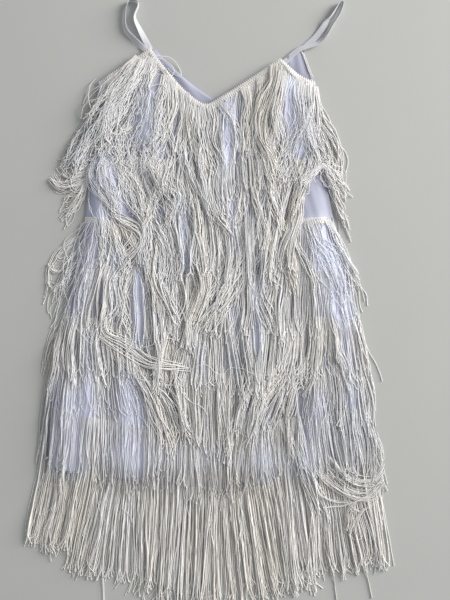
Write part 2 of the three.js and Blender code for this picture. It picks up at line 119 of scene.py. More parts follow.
class Lie(NamedTuple):
    """How a row's cords lie at one share of its tape.

    root, middle and tip are the lean in degrees from straight down, towards +X. gather is how far the cords
    draw together into locks, sway the sideways wave of a lock and crimp that of a cord, both in mm.
    """

    across: float
    root: float
    middle: float
    tip: float
    length: float
    gather: float
    sway: float
    crimp: float


class SeamFringe(NamedTuple):
    """The end of a back row that comes out from under a side seam."""

    name: str
    side: Side
    top: float
    bottom: float
    cords: int
    root: float
    middle: float
    tip: float
    length: float
    curl: float


class StrapStop(NamedTuple):
    """A point that a strap's middle passes, and its turn there from lying flat, in degrees."""

    x: float
    y: float
    z: float
    turn: float


class Lock(NamedTuple):
    """A lock of cords that lies apart from its row.

    points are what its middle passes, X and Y in turn, and spread is half its width at even shares of
    the way. crimp is the size of its small waves in mm. warmth runs from 0 for blue-white to 1 for cream,
    and tone from 0 for grey to 1 for white.
    """

    cords: int
    points: tuple[float, ...]
    spread: tuple[float, ...]
    crimp: float = 0.4
    warmth: float = 0.4
    tone: float = 0.68


class Frizz(NamedTuple):
    """Loose thin cords that curl over a part of a row.

    x and y are the middle of where they start, wide and high how far they start from it, lean their way in
    degrees from straight down, towards +X, and curl how far they turn from it, in degrees.
    """

    cords: int
    x: float
    y: float
    wide: float
    high: float
    lean: float
    curl: float
    length: float


class Parting(NamedTuple):
    """A line that a row's cords are drawn away from, where the cloth shows, and half the width left bare."""

    x0: float
    y0: float
    x1: float
    y1: float
    width: float


UNDERARM = (-146.0, 292.0)
FRONT_EDGE = (
    Stretch(-85, 331, -0.5),
    Stretch(-76, 337.5, 0),
    Stretch(-46, 298, -1),
    Stretch(-24, 275, -1),
    Stretch(-6, 262.5, -1),
    Stretch(4, 263, -0.5),
    Stretch(98.5, 323, -1),
    Stretch(107, 314.5, 0),
    Stretch(146, 292, -4),
)
BACK_EDGE = (
    Stretch(-81, 333.5, -2),
    Stretch(-71.5, 340, 0),
    Stretch(7, 272, -4),
    Stretch(123, 341, -8),
    Stretch(132, 332, 0),
    Stretch(146, 292, -3),
)
SEAMS = (
    SeamPoint(292, -146, 146),
    SeamPoint(230, -154, 151),
    SeamPoint(174, -158, 157),
    SeamPoint(115, -163, 169),
    SeamPoint(54, -175, 186),
    SeamPoint(-14, -188, 198),
    SeamPoint(-78, -202, 205),
    SeamPoint(-138, -210, 211),
    SeamPoint(-198, -214, 214),
    SeamPoint(-224, -215, 216),
)
TIERS = (
    Tier("fringe_tier_1", 190, 4),
    Tier("fringe_tier_2", 112, 6),
    Tier("fringe_tier_3", 50, 10),
    Tier("fringe_tier_4", -17, 12),
    Tier("fringe_tier_5", -82, 16),
    Tier("fringe_tier_6", -136, 30),
)
HEM = Tier("hem", -224, 26)
FRONT_FOLDS = (
    Fold(104, 296, 74, 190, 6, 15),
    Fold(-58, 285, -76, 180, 4, 17),
    Fold(14, 235, 4, 120, 3, 20),
    Fold(-120, 160, -146, 20, 2.5, 18),
    Fold(128, 120, 160, -60, 3, 18),
    Fold(-186, -100, -196, -226, 3.5, 11),
    Fold(-154, -110, -160, -240, 4, 12),
    Fold(-64, -40, -70, -245, 3, 18),
    Fold(58, -60, 66, -245, 3, 18),
    Fold(146, -120, 152, -240, 4, 13),
)
FRONT_CREASES = (
    Fold(30, 236, 22, 176, 1.6, 4),
    Fold(40, 240, 38, 180, -1.2, 4),
    Fold(132, 170, 150, 112, 1.5, 5),
    Fold(120, 160, 128, 112, -1.2, 5),
    Fold(-152, 150, -140, 110, 1.4, 5),
    Fold(-176, -130, -186, -224, -1.6, 5),
    Fold(-204, -120, -208, -222, 1.6, 4),
    Fold(-112, -110, -104, -236, 1.8, 6),
    Fold(-92, -110, -84, -236, -1.5, 6),
)
BACK_CREASES = (
    Fold(-48, 318, -10, 262, 2.2, 6),
    Fold(-26, 300, 6, 258, -0.6, 4),
    Fold(108, 338, 112, 300, 2.6, 5),
    Fold(122, 330, 128, 300, 1.6, 4),
)

# Where the cloth lies high and the fringe over it is thin; there the cloth and the cords are painted lighter
# and the cords cooler, as painted light. A height of 1 is the full effect.
VEILS = (
    Fold(-150, 176, -152, 118, 1.0, 15),
    Fold(-156, 104, -180, -12, 1.0, 23),
    Fold(-122, 60, -124, -12, 0.7, 9),
    Fold(-92, 30, -93, -52, 1.0, 10),
    Fold(-160, -60, -157, -150, 0.8, 11),
    Fold(-204, -116, -206, -220, 0.9, 9),
    Fold(-180, -128, -180, -226, 1.0, 17),
    Fold(-106, -108, -100, -222, 0.95, 23),
    Fold(-130, -208, 130, -216, 0.5, 17),
    Fold(-84, 272, -78, 222, 0.9, 17),
    Fold(-20, 262, 0, 225, 0.4, 16),
    Fold(30, 256, 28, 182, 1.0, 12),
    Fold(113, 286, 118, 208, 1.0, 13),
    Fold(132, 262, 136, 214, 0.6, 14),
    Fold(-140, 176, -120, 136, 0.8, 12),
    Fold(-36, 138, -28, 52, 0.9, 10),
    Fold(34, 124, 36, 72, 0.6, 10),
    Fold(150, 92, 172, -12, 1.0, 22),
    Fold(176, 60, 192, -20, 0.8, 16),
    Fold(66, 18, 68, -62, 0.8, 10),
    Fold(186, -34, 196, -150, 0.6, 13),
    Fold(146, -140, 134, -228, 0.7, 13),
    Fold(76, -150, 78, -232, 0.4, 13),
    Fold(-10, -60, -8, -100, 0.5, 9),
    Fold(36, -20, 36, -95, 0.4, 9),
)
# The stretches of a row's tape that show: from, to, and how plainly. The row above covers the rest.
TAPE_SHOWS = {
    "fringe_tier_1": ((16, 40, 0.4),),
    "fringe_tier_2": ((-166, -136, 1.0), (122, 160, 1.0)),
    "fringe_tier_3": ((42, 62, 0.7),),
    "fringe_tier_4": ((-208, -160, 0.8), (146, 178, 0.4)),
}

# How each row lies, from its left end to its right end.
COMBS: dict[str, tuple[Lie, ...]] = {
    "fringe_neckline": (
        Lie(0.00, -16, -30, -26, 118, 0.5, 3.0, 1.6),
        Lie(0.12, -30, -34, -30, 152, 0.5, 3.0, 1.8),
        Lie(0.24, -30, -24, -14, 158, 0.6, 3.0, 1.8),
        Lie(0.34, -14, -4, 8, 152, 0.6, 3.0, 1.4),
        Lie(0.44, -2, 8, 14, 138, 0.8, 2.5, 1.0),
        Lie(0.54, 0, 3, 6, 140, 0.8, 2.0, 0.8),
        Lie(0.66, -3, 4, 5, 143, 0.8, 2.0, 0.8),
        Lie(0.78, -9, -4, 6, 143, 0.8, 2.0, 0.8),
        Lie(0.86, -12, -8, 0, 138, 0.8, 2.0, 0.8),
        Lie(0.93, 2, -4, -8, 132, 0.8, 2.0, 0.8),
        Lie(1.00, 20, 8, -6, 134, 0.7, 2.0, 0.8),
    ),
    "fringe_tier_1": (
        Lie(0.00, -6, 14, -4, 143, 0.6, 4.5, 1.8),
        Lie(0.08, 10, 30, -6, 146, 0.7, 5.5, 1.8),
        Lie(0.22, 22, 16, -6, 146, 0.8, 5.5, 1.6),
        Lie(0.36, 16, 4, -10, 148, 0.8, 3.5, 1.2),
        Lie(0.50, -8, 4, 14, 148, 0.8, 2.5, 1.0),
        Lie(0.62, 4, 0, -10, 148, 0.8, 2.5, 0.8),
        Lie(0.76, 4, -8, -8, 148, 0.8, 2.5, 0.8),
        Lie(0.90, -18, -14, -4, 146, 0.8, 2.5, 0.8),
        Lie(1.00, -26, -18, -6, 143, 0.7, 2.5, 0.8),
    ),
    "fringe_tier_2": (
        Lie(0.00, -20, -16, -4, 138, 0.3, 1.0, 0.5),
        Lie(0.10, -12, -12, -4, 143, 0.4, 1.5, 0.6),
        Lie(0.26, 6, 2, -6, 148, 0.8, 2.5, 1.0),
        Lie(0.40, 4, -4, -8, 150, 0.8, 2.5, 1.0),
        Lie(0.52, -2, -12, -14, 150, 0.8, 2.5, 0.8),
        Lie(0.64, -4, -14, -12, 150, 0.8, 2.5, 0.8),
        Lie(0.78, -2, -6, 4, 148, 0.7, 2.0, 0.8),
        Lie(0.88, 2, 2, 6, 146, 0.5, 2.0, 0.6),
        Lie(1.00, 18, 16, 12, 143, 0.4, 1.5, 0.6),
    ),
    "fringe_tier_3": (
        Lie(0.00, -14, -10, -2, 143, 0.5, 0.9, 0.8),
        Lie(0.25, 2, 4, 2, 148, 0.7, 1.2, 0.8),
        Lie(0.44, -8, -12, -6, 150, 0.8, 1.2, 0.8),
        Lie(0.54, 8, 8, 2, 150, 0.8, 1.2, 0.8),
        Lie(0.80, 2, -6, -8, 148, 0.8, 1.2, 0.8),
        Lie(1.00, 16, 14, 10, 143, 0.5, 0.9, 0.8),
    ),
    "fringe_tier_4": (
        Lie(0.00, -10, -9, -8, 138, 0.5, 0.9, 0.8),
        Lie(0.10, 2, 6, 4, 122, 0.7, 1.2, 0.8),
        Lie(0.20, 12, 26, 26, 135, 0.8, 1.9, 1.0),
        Lie(0.32, 8, 18, 16, 150, 0.8, 1.6, 1.0),
        Lie(0.50, 0, 0, -4, 160, 0.7, 1.2, 0.8),
        Lie(0.64, -2, -12, -14, 160, 0.8, 1.2, 0.8),
        Lie(0.80, 0, -16, -18, 140, 0.8, 1.2, 0.8),
        Lie(0.87, 0, -12, -12, 130, 0.7, 1.2, 0.8),
        Lie(1.00, 14, 11, 9, 148, 0.4, 0.9, 0.6),
    ),
    "fringe_tier_5": (
        Lie(0.00, -9, -7, -6, 156, 0.4, 0.7, 0.6),
        Lie(0.12, -3, -5, -4, 132, 0.6, 0.9, 0.8),
        Lie(0.22, 2, 0, -2, 160, 0.6, 0.9, 0.8),
        Lie(0.34, 6, 3, -4, 138, 0.7, 1.2, 0.8),
        Lie(0.46, 2, 0, 0, 168, 0.7, 0.9, 0.8),
        Lie(0.56, -2, -2, 0, 134, 0.7, 0.9, 0.8),
        Lie(0.68, -5, -4, 2, 158, 0.7, 0.9, 0.8),
        Lie(0.80, 2, 4, 4, 128, 0.6, 0.9, 0.8),
        Lie(0.90, 7, 8, 5, 152, 0.5, 0.9, 0.6),
        Lie(1.00, 12, 9, 6, 140, 0.4, 0.7, 0.6),
    ),
    "fringe_tier_6": (
        Lie(0.00, -10, -11, -11, 190, 0.3, 0.7, 0.6),
        Lie(0.15, -6, -9, -10, 204, 0.4, 0.9, 0.6),
        Lie(0.30, -3, -6, -8, 230, 0.5, 0.9, 0.8),
        Lie(0.50, 0, 0, 0, 250, 0.5, 0.9, 0.8),
        Lie(0.70, 5, 8, 8, 234, 0.5, 0.9, 0.8),
        Lie(0.85, 8, 8, 6, 220, 0.4, 0.9, 0.8),
        Lie(1.00, 9, 9, 7, 212, 0.3, 0.7, 0.6),
    ),
    "fringe_hem_back": (
        Lie(0.00, -19, -18, -17, 104, 0.3, 0.5, 0.5),
        Lie(0.12, -11, -11, -11, 110, 0.3, 0.5, 0.5),
        Lie(0.30, -6, -7, -8, 138, 0.4, 0.6, 0.6),
        Lie(0.50, 0, 1, 1, 158, 0.4, 0.6, 0.6),
        Lie(0.70, 6, 8, 8, 144, 0.4, 0.6, 0.6),
        Lie(0.85, 8, 8, 7, 130, 0.3, 0.5, 0.5),
        Lie(1.00, 14, 12, 8, 116, 0.3, 0.5, 0.5),
    ),
}
CORD_COUNTS = {
    "fringe_neckline": 420,
    "fringe_tier_1": 380,
    "fringe_tier_2": 370,
    "fringe_tier_3": 380,
    "fringe_tier_4": 390,
    "fringe_tier_5": 370,
    "fringe_tier_6": 430,
    "fringe_hem_back": 400,
}
# A row's usual warmth and tone, where they aren't PLAIN_TINT.
PLAIN_TINT = (0.5, 0.6)
ROW_TINTS = {
    "fringe_neckline": (0.38, 0.42),
    "fringe_tier_1": (0.46, 0.58),
    "fringe_tier_4": (0.52, 0.4),
    "fringe_tier_5": (0.62, 0.24),
    "fringe_tier_6": (0.7, 0.86),
    "fringe_hem_back": (0.7, 0.92),
}
# Cords that a lock is laid with for each that its table asks for; the few single cords stay single.
LOCK_FULLNESS = 1.4
FEW_CORDS = 4
SEAM_FRINGES = (
    SeamFringe("fringe_left_upper", Side.LEFT, 240, 150, 16, -30, -24, -14, 74, 3),
    SeamFringe("fringe_left_hip", Side.LEFT, 88, 30, 12, -36, -26, -8, 78, 3),
    SeamFringe("fringe_left_thigh", Side.LEFT, 6, -48, 14, -22, -15, -8, 96, 1.5),
    SeamFringe("fringe_right_upper", Side.RIGHT, 272, 216, 12, 30, 14, -4, 108, 1.5),
    SeamFringe("fringe_right_waist", Side.RIGHT, 166, 128, 12, 40, 24, 12, 60, 1.5),
    SeamFringe("fringe_right_hip", Side.RIGHT, 84, 44, 14, 24, 20, 15, 66, 1.5),
    SeamFringe("fringe_right_thigh", Side.RIGHT, -2, -50, 22, 15, 10, 7, 104, 1.5),
    SeamFringe("fringe_right_hem", Side.RIGHT, -140, -200, 16, 20, 10, 4, 96, 1.5),
)
PARTINGS = (
    Parting(28, 252, 27, 186, 5),
    Parting(-74, 290, -72, 220, 4),
    Parting(112, 288, 110, 222, 6),
    Parting(-150, 168, -152, 122, 7),
    Parting(-128, 190, -122, 156, 5),
    Parting(148, 166, 152, 120, 15),
    Parting(-34, 104, -24, 48, 4),
    Parting(36, 128, 30, 100, 4),
    Parting(-90, 24, -88, -56, 4),
    Parting(-140, 34, -142, -16, 3),
    Parting(-172, 86, -184, 10, 5),
    Parting(158, 80, 182, 14, 5),
    Parting(66, -24, 68, -70, 4),
    Parting(-212, -150, -213, -218, 3),
    Parting(-190, -130, -192, -218, 2),
    Parting(-90, -132, -86, -216, 2),
    Parting(122, -140, 140, -226, 3),
)
LOCKS: dict[str, tuple[Lock, ...]] = {
    "fringe_neckline": (
        Lock(
            15,
            (-92, 326, -99, 317, -117, 295, -135, 272, -149, 254, -157, 236),
            (5, 9, 14, 15, 14), 0.9, 0.3, 0.6,
        ),
        Lock(14, (-86, 322, -93, 301, -104, 279, -117, 256, -133, 232), (5, 8, 11, 12, 14), 1.2, 0.2, 0.6),
        Lock(12, (-72, 324, -81, 295, -86, 265, -92, 240, -108, 220), (6, 8, 9, 8), 1.6, 0.2),
        Lock(14, (-54, 301, -59, 277, -68, 245, -70, 225, -82, 208), (7, 7, 6, 8), 0.8, 0.2),
        Lock(14, (-47, 292, -45, 261, -52, 234, -63, 216, -80, 202), (6, 6, 6, 8), 1.0, 0.3),
        Lock(9, (-30, 277, -27, 250, -34, 225, -37, 205, -44, 183), (7, 8, 7, 7), 0.6, 0.2),
        Lock(10, (-21, 264, -23, 238, -18, 207, -12, 180, -9, 158), (6, 8, 7, 7), 0.4, 0.9, 0.4),
        Lock(8, (-9, 258, -6, 227, -3, 205, 2, 189, 11, 160), (6, 7, 6, 7), 0.4, 0.5),
        Lock(8, (5, 258, 9, 238, 8, 216, 14, 193, 22, 168), (6, 7, 6, 7), 0.4, 0.3),
        Lock(8, (20, 262, 31, 243, 39, 225, 43, 202, 41, 178), (6, 6, 6, 6), 0.4, 0.2),
        Lock(16, (51, 286, 56, 261, 54, 238, 56, 216, 58, 190), (7, 6, 6, 7), 0.4, 0.6),
        Lock(14, (72, 299, 72, 277, 67, 254, 65, 229, 63, 204), (6, 6, 6, 7), 0.5, 0.6),
        Lock(
            26,
            (92, 314, 90, 292, 78, 261, 72, 238, 74, 216, 85, 189, 93, 162),
            (9, 9, 8, 8, 9), 0.3, 1.0, 0.3,
        ),
        Lock(14, (101, 306, 97, 283, 90, 254, 94, 225, 103, 190), (5, 6, 7, 8), 0.4, 0.8, 0.45),
        Lock(14, (123, 295, 121, 272, 128, 243, 119, 220, 106, 202, 100, 180), (7, 6, 6, 7), 0.5),
        Lock(14, (135, 290, 139, 261, 134, 234, 121, 211, 112, 184, 104, 160), (6, 6, 6, 8), 0.5),
        Lock(9, (146, 287, 149, 256, 158, 232, 171, 211, 176, 190, 175, 158), (4, 6, 10, 8, 6), 0.8, 0.2),
        Lock(10, (143, 286, 144, 250, 148, 216, 157, 193, 167, 168), (5, 7, 8, 6), 0.6, 0.2),
        Lock(12, (134, 288, 132, 254, 138, 216, 148, 192, 154, 174), (6, 7, 6, 3), 0.5, 0.3),
        Lock(7, (155, 180, 145, 172, 134, 162, 122, 146), (2, 4, 7, 11), 0.5, 0.3),
        Lock(16, (154, 182, 168, 171, 178, 152, 186, 132), (2, 6, 10, 11), 0.6, 0.2),
        Lock(8, (158, 172, 172, 140, 181, 118, 192, 100), (2, 5, 6, 5), 0.5, 0.3),
        Lock(1, (-70, 328, -61, 327, -50, 326, -40, 317, -34, 302, -43, 303, -53, 312), (0, 0), 0.3),
        Lock(1, (-66, 324, -58, 322, -47, 315, -44, 305, -50, 300, -56, 309), (0, 0), 0.3),
        Lock(2, (-80, 281, -65, 287, -55, 279, -58, 266, -68, 268, -71, 278), (1, 3), 0.6, 0.1),
        Lock(2, (-150, 298, -157, 290, -159, 276, -156, 260, -152, 246), (1, 2), 0.6, 0.2),
        Lock(1, (90, 164, 98, 159, 108, 159, 121, 162, 129, 174, 132, 190), (0, 0), 0.2, 0.1),
        Lock(3, (18, 256, 27, 238, 25, 218, 32, 200, 30, 182), (3, 4, 5), 0.5, 0.1, 0.9),
        Lock(2, (36, 262, 29, 240, 31, 216, 23, 196), (2, 3), 0.5, 0.1, 0.9),
        Lock(3, (108, 296, 112, 272, 108, 250, 116, 228, 112, 206), (3, 5, 5), 0.6, 0.1, 0.9),
        Lock(3, (119, 298, 110, 270, 116, 244, 107, 220), (3, 4, 5), 0.6, 0.1, 0.9),
        Lock(9, (-118, 250, -132, 238, -140, 226, -130, 222, -122, 230), (3, 6, 7, 5), 2.2, 0.1),
        Lock(8, (-100, 232, -116, 222, -128, 218, -138, 208, -150, 204), (4, 6, 7, 7), 2.2, 0.1),
        Lock(3, (125, 339, 131, 327, 137, 311, 142, 299), (1.2, 1.2), 0.3, 0.4, 0.8),
    ),
    "fringe_tier_1": (
        Lock(12, (-152, 188, -157, 171, -150, 150, -136, 132, -118, 117), (4, 5, 5, 6), 0.5, 0.1),
        Lock(12, (-135, 188, -142, 172, -138, 155, -124, 140, -117, 120), (5, 5, 5, 6), 0.8, 0.2),
        Lock(16, (-112, 187, -112, 175, -99, 158, -90, 137, -80, 114, -84, 94), (6, 6, 6, 6, 7), 0.9, 0.6),
        Lock(16, (-98, 187, -81, 184, -59, 174, -41, 157, -31, 137, -30, 112), (5, 6, 6, 6, 7), 1.2, 0.5),
        Lock(14, (-68, 187, -79, 180, -69, 168, -62, 152, -74, 130, -80, 104), (6, 6, 6, 7), 1.2, 0.3),
        Lock(14, (-48, 186, -60, 172, -56, 154, -40, 140, -46, 118, -55, 96), (6, 6, 5, 6, 7), 0.9),
        Lock(16, (-32, 186, -27, 175, -23, 153, -16, 131, -12, 104, -13, 82), (6, 6, 6, 7), 0.6, 0.5),
        Lock(18, (0, 185, 0, 150, 3, 128, 14, 110, 28, 93, 35, 84), (7, 7, 6, 6, 7), 0.4, 0.7),
        Lock(14, (20, 185, 18, 155, 18, 139, 24, 121, 32, 102), (6, 6, 6, 6)),
        Lock(14, (44, 186, 47, 157, 47, 135, 42, 112, 32, 92), (6, 6, 6, 7)),
        Lock(14, (68, 187, 67, 157, 65, 135, 72, 112, 77, 90, 74, 66), (6, 6, 6, 7), 0.4, 0.5),
        Lock(14, (86, 187, 85, 148, 90, 128, 99, 106, 101, 84), (6, 6, 6, 6), 0.4, 0.6),
        Lock(14, (124, 188, 123, 148, 117, 128, 111, 110, 109, 84), (6, 6, 5, 5), 0.4, 0.9, 0.45),
        Lock(10, (142, 188, 133, 160, 124, 136, 118, 110), (5, 5, 5, 5)),
    ),
    "fringe_tier_2": (
        Lock(9, (-152, 108, -165, 78, -173, 50, -187, 16, -193, -10), (8, 15, 17, 18, 17), 0.3, 0.0, 0.85),
        Lock(10, (-138, 108, -140, 88, -142, 61, -150, 34), (5, 5, 5, 6), 0.3, 0.3),
        Lock(14, (-129, 107, -119, 78, -109, 56, -105, 34), (5, 5, 4, 5), 0.4, 0.5),
        Lock(22, (-112, 107, -104, 86, -91, 65, -82, 43, -78, 20), (7, 7, 6, 5, 4), 0.3, 0.8),
        Lock(18, (-90, 107, -81, 90, -77, 67, -77, 40, -70, 4, -67, -24), (7, 7, 7, 7, 6), 0.4, 0.5),
        Lock(20, (-50, 106, -56, 90, -61, 67, -63, 36, -54, 4, -37, -34), (7, 7, 8, 8, 7), 0.4, 0.5),
        Lock(6, (-40, 106, -36, 84, -30, 61, -22, 34), (4, 5, 5, 5), 0.3, 0.0),
        Lock(20, (-14, 106, -12, 61, -5, 27, -7, 4, -22, -38), (8, 7, 7, 7, 8), 0.3, 0.9, 0.45),
        Lock(28, (52, 106, 58, 90, 55, 70, 45, 48, 29, 18, 6, -18, -10, -44), (8, 10, 12, 14, 14), 0.3),
        Lock(16, (74, 106, 76, 83, 79, 61, 85, 36, 93, 12), (7, 6, 6, 7), 0.3),
        Lock(28, (113, 108, 110, 86, 108, 61, 112, 34, 117, 4), (7, 8, 8, 9, 8), 0.3, 1.0, 0.4),
        Lock(8, (120, 76, 132, 50, 141, 27, 144, 7), (4, 5, 5, 5), 0.3, 0.3),
        Lock(9, (138, 107, 148, 76, 168, 40, 185, 4, 197, -28), (9, 14, 16, 16, 15), 0.3, 0.0, 0.85),
        Lock(12, (161, 108, 178, 74, 192, 45, 203, 24), (4, 5, 5, 5), 0.4, 0.2),
        Lock(1, (126, 112, 131, 97, 142, 88, 157, 81, 175, 71), (0, 0), 0.2, 0.0),
        Lock(1, (100, 54, 91, 37, 78, 27), (0, 0), 0.2, 0.0),
        Lock(1, (-120, 18, -108, 9, -92, 4, -81, 9, -76, 19), (0, 0), 0.2, 0.1),
        Lock(1, (-100, -18, -88, -17, -78, -9), (0, 0), 0.2, 0.1),
        Lock(1, (-82, 66, -72, 56, -64, 50), (0, 0), 0.2, 0.1),
    ),
    "fringe_tier_3": (
        Lock(14, (-135, 46, -133, 4, -138, -18, -136, -36, -129, -52), (6, 5, 5, 6), 0.4, 0.3),
        Lock(8, (-121, 46, -124, 4, -122, -32), (4, 4, 4), 0.3, 0.3),
        Lock(18, (-99, 46, -108, 22, -115, -9, -108, -29, -97, -50), (7, 6, 6, 7), 0.3, 0.5),
        Lock(14, (-40, 44, -36, -7, -33, -38), (6, 6, 7), 0.3, 0.3),
        Lock(18, (-9, 42, -12, 4, -22, -20, -24, -50), (7, 6, 7, 8), 0.3, 0.7),
        Lock(18, (31, 42, 22, -7, 3, -29, -18, -50), (8, 7, 7, 8), 0.3, 0.5),
        Lock(8, (56, 42, 58, 4, 62, -18, 65, -42), (4, 4, 4), 0.3, 0.1),
        Lock(12, (92, 44, 87, -2, 88, -46), (6, 6, 6), 0.3, 0.9),
        Lock(
            10,
            (
                -130, 45, -132, 16, -133, -9, -138, -31, -134, -46,
                -117, -56, -99, -67, -84, -77, -68, -83, -16, -92,
            ),
            (7, 7, 8, 9, 9, 9, 8, 7, 5, 3), 0.3, 0.3, 0.85,
        ),
        Lock(1, (-182, -28, -165, -48, -155, -58, -146, -55, -134, -48), (0, 0), 0.2, 0.2, 0.9),
        Lock(
            1,
            (-113, -27, -99, -54, -86, -63, -68, -58, -50, -51, -35, -58, -21, -69),
            (0, 0), 0.3, 0.2, 0.9,
        ),
        Lock(
            1,
            (-22, -93, -10, -87, 2, -88, 11, -97, 22, -99, 31, -91, 49, -92, 63, -99, 94, -100),
            (0, 0), 0.3, 0.1, 0.95,
        ),
    ),
    "fringe_tier_4": (
        Lock(12, (-189, -22, -196, -60, -203, -96, -213, -126), (5, 5, 5, 5), 0.3, 0.1),
        Lock(12, (-181, -22, -182, -66, -179, -100, -178, -126), (5, 4, 4, 5), 0.3, 0.2),
        Lock(12, (-174, -23, -162, -62, -155, -88, -148, -118), (6, 7, 6, 5), 0.3, 0.0),
        Lock(16, (-156, -24, -147, -74, -139, -102, -133, -120), (6, 5, 4, 2), 0.3, 0.3),
        Lock(12, (-144, -28, -126, -66, -108, -90, -94, -118), (5, 5, 6, 7), 0.3, 0.3),
        Lock(
            9,
            (-126, -30, -116, -76, -98, -98, -77, -114, -59, -126, -44, -153, -30, -190),
            (6, 6, 8, 14), 0.3, 0.4, 0.6,
        ),
        Lock(
            20,
            (-108, -32, -96, -88, -75, -128, -63, -162, -57, -192, -58, -218),
            (6, 6, 9, 13, 18), 0.5, 0.8, 0.6,
        ),
        Lock(22, (94, -26, 98, -58, 94, -84, 79, -101, 63, -122, 50, -154), (9, 9, 10, 12, 12), 0.3, 0.2),
        Lock(24, (116, -24, 113, -60, 103, -88, 90, -110, 76, -135, 66, -170), (9, 9, 9, 9, 9), 0.3, 0.5),
        Lock(18, (144, -22, 143, -60, 134, -85, 117, -104, 100, -124), (7, 7, 7, 7), 0.3),
        Lock(12, (152, -22, 149, -76, 139, -106, 125, -132), (5, 5, 5, 4), 0.3),
        Lock(14, (164, -21, 175, -66, 188, -100, 198, -126), (6, 6, 6, 6), 0.3, 0.1),
        Lock(2, (-95, -104, -72, -110, -57, -113, -40, -113), (1, 2), 0.2, 0.1),
        Lock(1, (-43, -96, -33, -122, -23, -135, -9, -141, 0, -153, 1, -172), (0, 0), 0.2, 0.3),
        Lock(1, (-14, -99, -5, -126, 3, -112, 18, -100), (0, 0), 0.2, 0.3),
        Lock(2, (34, -90, 26, -116, 16, -148), (1, 2), 0.3, 0.3),
    ),
    "fringe_tier_5": (
        Lock(18, (76, -98, 68, -144, 60, -171, 55, -192), (7, 7, 8, 9), 0.4, 0.1),
        Lock(14, (96, -96, 98, -130, 103, -158), (6, 5, 3), 0.3, 0.6),
        Lock(12, (114, -95, 113, -128, 112, -155), (5, 5, 4), 0.3, 0.9),
        Lock(16, (-30, -98, -34, -150, -46, -186, -58, -212), (6, 6, 8, 10), 0.5),
        Lock(16, (20, -98, 22, -150, 26, -190, 24, -222), (6, 6, 8, 9), 0.5, 0.5),
    ),
    "fringe_tier_6": (
        Lock(12, (120, -156, 132, -214, 144, -244, 155, -276, 163, -302), (5, 6, 6, 6, 4), 0.3, 0.1),
        Lock(14, (100, -158, 118, -206, 134, -246, 148, -290), (6, 6, 6, 7), 0.3, 0.5),
        Lock(1, (-115, -280, -104, -290, -97, -303), (0, 0), 0.1, 0.3),
        Lock(1, (-224, -289, -214, -284, -206, -276), (0, 0), 0.1, 0.3),
        Lock(2, (-138, -330, -140, -368, -139, -410), (0, 1), 0.2, 0.3),
        Lock(2, (158, -330, 170, -370, 175, -404), (0, 1), 0.2, 0.8),
        Lock(2, (208, -340, 216, -370, 222, -402), (0, 1), 0.2, 0.9),
        Lock(1, (-208, -300, -211, -330, -210, -352), (0, 0), 0.2, 0.2),
    ),
    "fringe_left_upper": (
        Lock(9, (-153, 207, -167, 197, -180, 198, -189, 208), (4, 5, 5, 4), 0.6, 0.3),
        Lock(9, (-155, 194, -169, 182, -184, 186, -194, 199), (4, 5, 5, 4), 0.6),
        Lock(9, (-158, 182, -173, 169, -189, 169, -199, 181), (4, 5, 5, 4), 0.6),
        Lock(9, (-160, 172, -180, 159, -198, 157, -207, 170), (4, 5, 5, 4), 0.6),
        Lock(8, (-162, 162, -184, 152, -201, 152, -214, 164), (4, 5, 5, 3), 0.6),
        Lock(9, (-162, 160, -172, 144, -184, 134, -196, 126), (4, 6, 8, 9), 0.6, 0.5),
        Lock(8, (-163, 158, -170, 140, -182, 122, -199, 110), (3, 5, 6, 7), 0.6, 0.6),
        Lock(3, (-152, 246, -164, 242, -169, 230, -165, 223, -155, 233), (1, 3, 3), 0.4, 0.2),
        Lock(2, (-158, 236, -171, 230, -179, 225, -178, 219, -172, 220), (1, 2, 1), 0.2, 0.2),
        Lock(6, (-153, 226, -164, 214, -178, 206, -190, 210), (3, 5, 5, 4), 0.6, 0.3),
        Lock(2, (-160, 160, -171, 147, -180, 148, -184, 156), (1, 2), 0.2),
    ),
    "fringe_left_hip": (
        Lock(5, (-172, 86, -188, 76, -204, 58, -213, 40, -215, 18, -222, -6), (2, 4, 5, 4, 2), 0.5, 0.3),
        Lock(5, (-174, 66, -188, 53, -200, 40, -208, 41, -213, 50), (2, 4, 4, 3)),
        Lock(5, (-177, 50, -189, 36, -198, 22, -207, 18, -214, 28), (2, 4, 4, 3)),
        Lock(4, (-180, 36, -192, 24, -204, 16, -209, 2), (2, 3, 4, 4), 0.4, 0.5),
        Lock(3, (-178, 76, -192, 66, -203, 60, -199, 54, -192, 58), (1, 2, 3), 0.3, 0.2),
    ),
    "fringe_left_thigh": (
        Lock(2, (-198, -40, -212, -56, -219, -72, -219, -88, -210, -95), (1, 2, 2), 0.2),
        Lock(2, (-200, -50, -210, -66, -214, -80, -209, -86), (1, 1), 0.2),
        # Painted shadow: the back row's ends past the left seam are painted dark, for the shadow that the
        # dress casts beside its left edge.
        Lock(10, (-200, -44, -206, -90, -212, -140, -217, -190, -222, -236), (3, 5, 5, 5), 0.3, 1.0, 0.0),
        Lock(8, (-198, -44, -208, -84, -216, -130, -221, -176, -228, -222), (2, 4, 5, 5), 0.3, 1.0, 0.0),
    ),
    "fringe_right_hem": (
        Lock(
            3,
            (161, -207, 178, -220, 195, -231, 208, -236, 222, -236, 231, -229, 237, -214),
            (2, 1), 0.1, 0.15, 0.95,
        ),
        Lock(4, (164, -211, 180, -228, 198, -240, 216, -243, 230, -237, 238, -220), (2, 3), 0.1, 0.15, 0.95),
        Lock(4, (170, -216, 184, -234, 202, -248, 220, -251, 233, -243, 238, -226), (2, 3), 0.1, 0.15, 0.95),
        Lock(4, (163, -226, 180, -245, 202, -257, 222, -257, 234, -246, 238, -232), (2, 3), 0.1, 0.15, 0.95),
        Lock(
            3,
            (168, -236, 184, -243, 186, -256, 196, -266, 212, -268, 228, -260, 236, -246),
            (1, 2), 0.1, 0.15, 0.95,
        ),
        Lock(
            2,
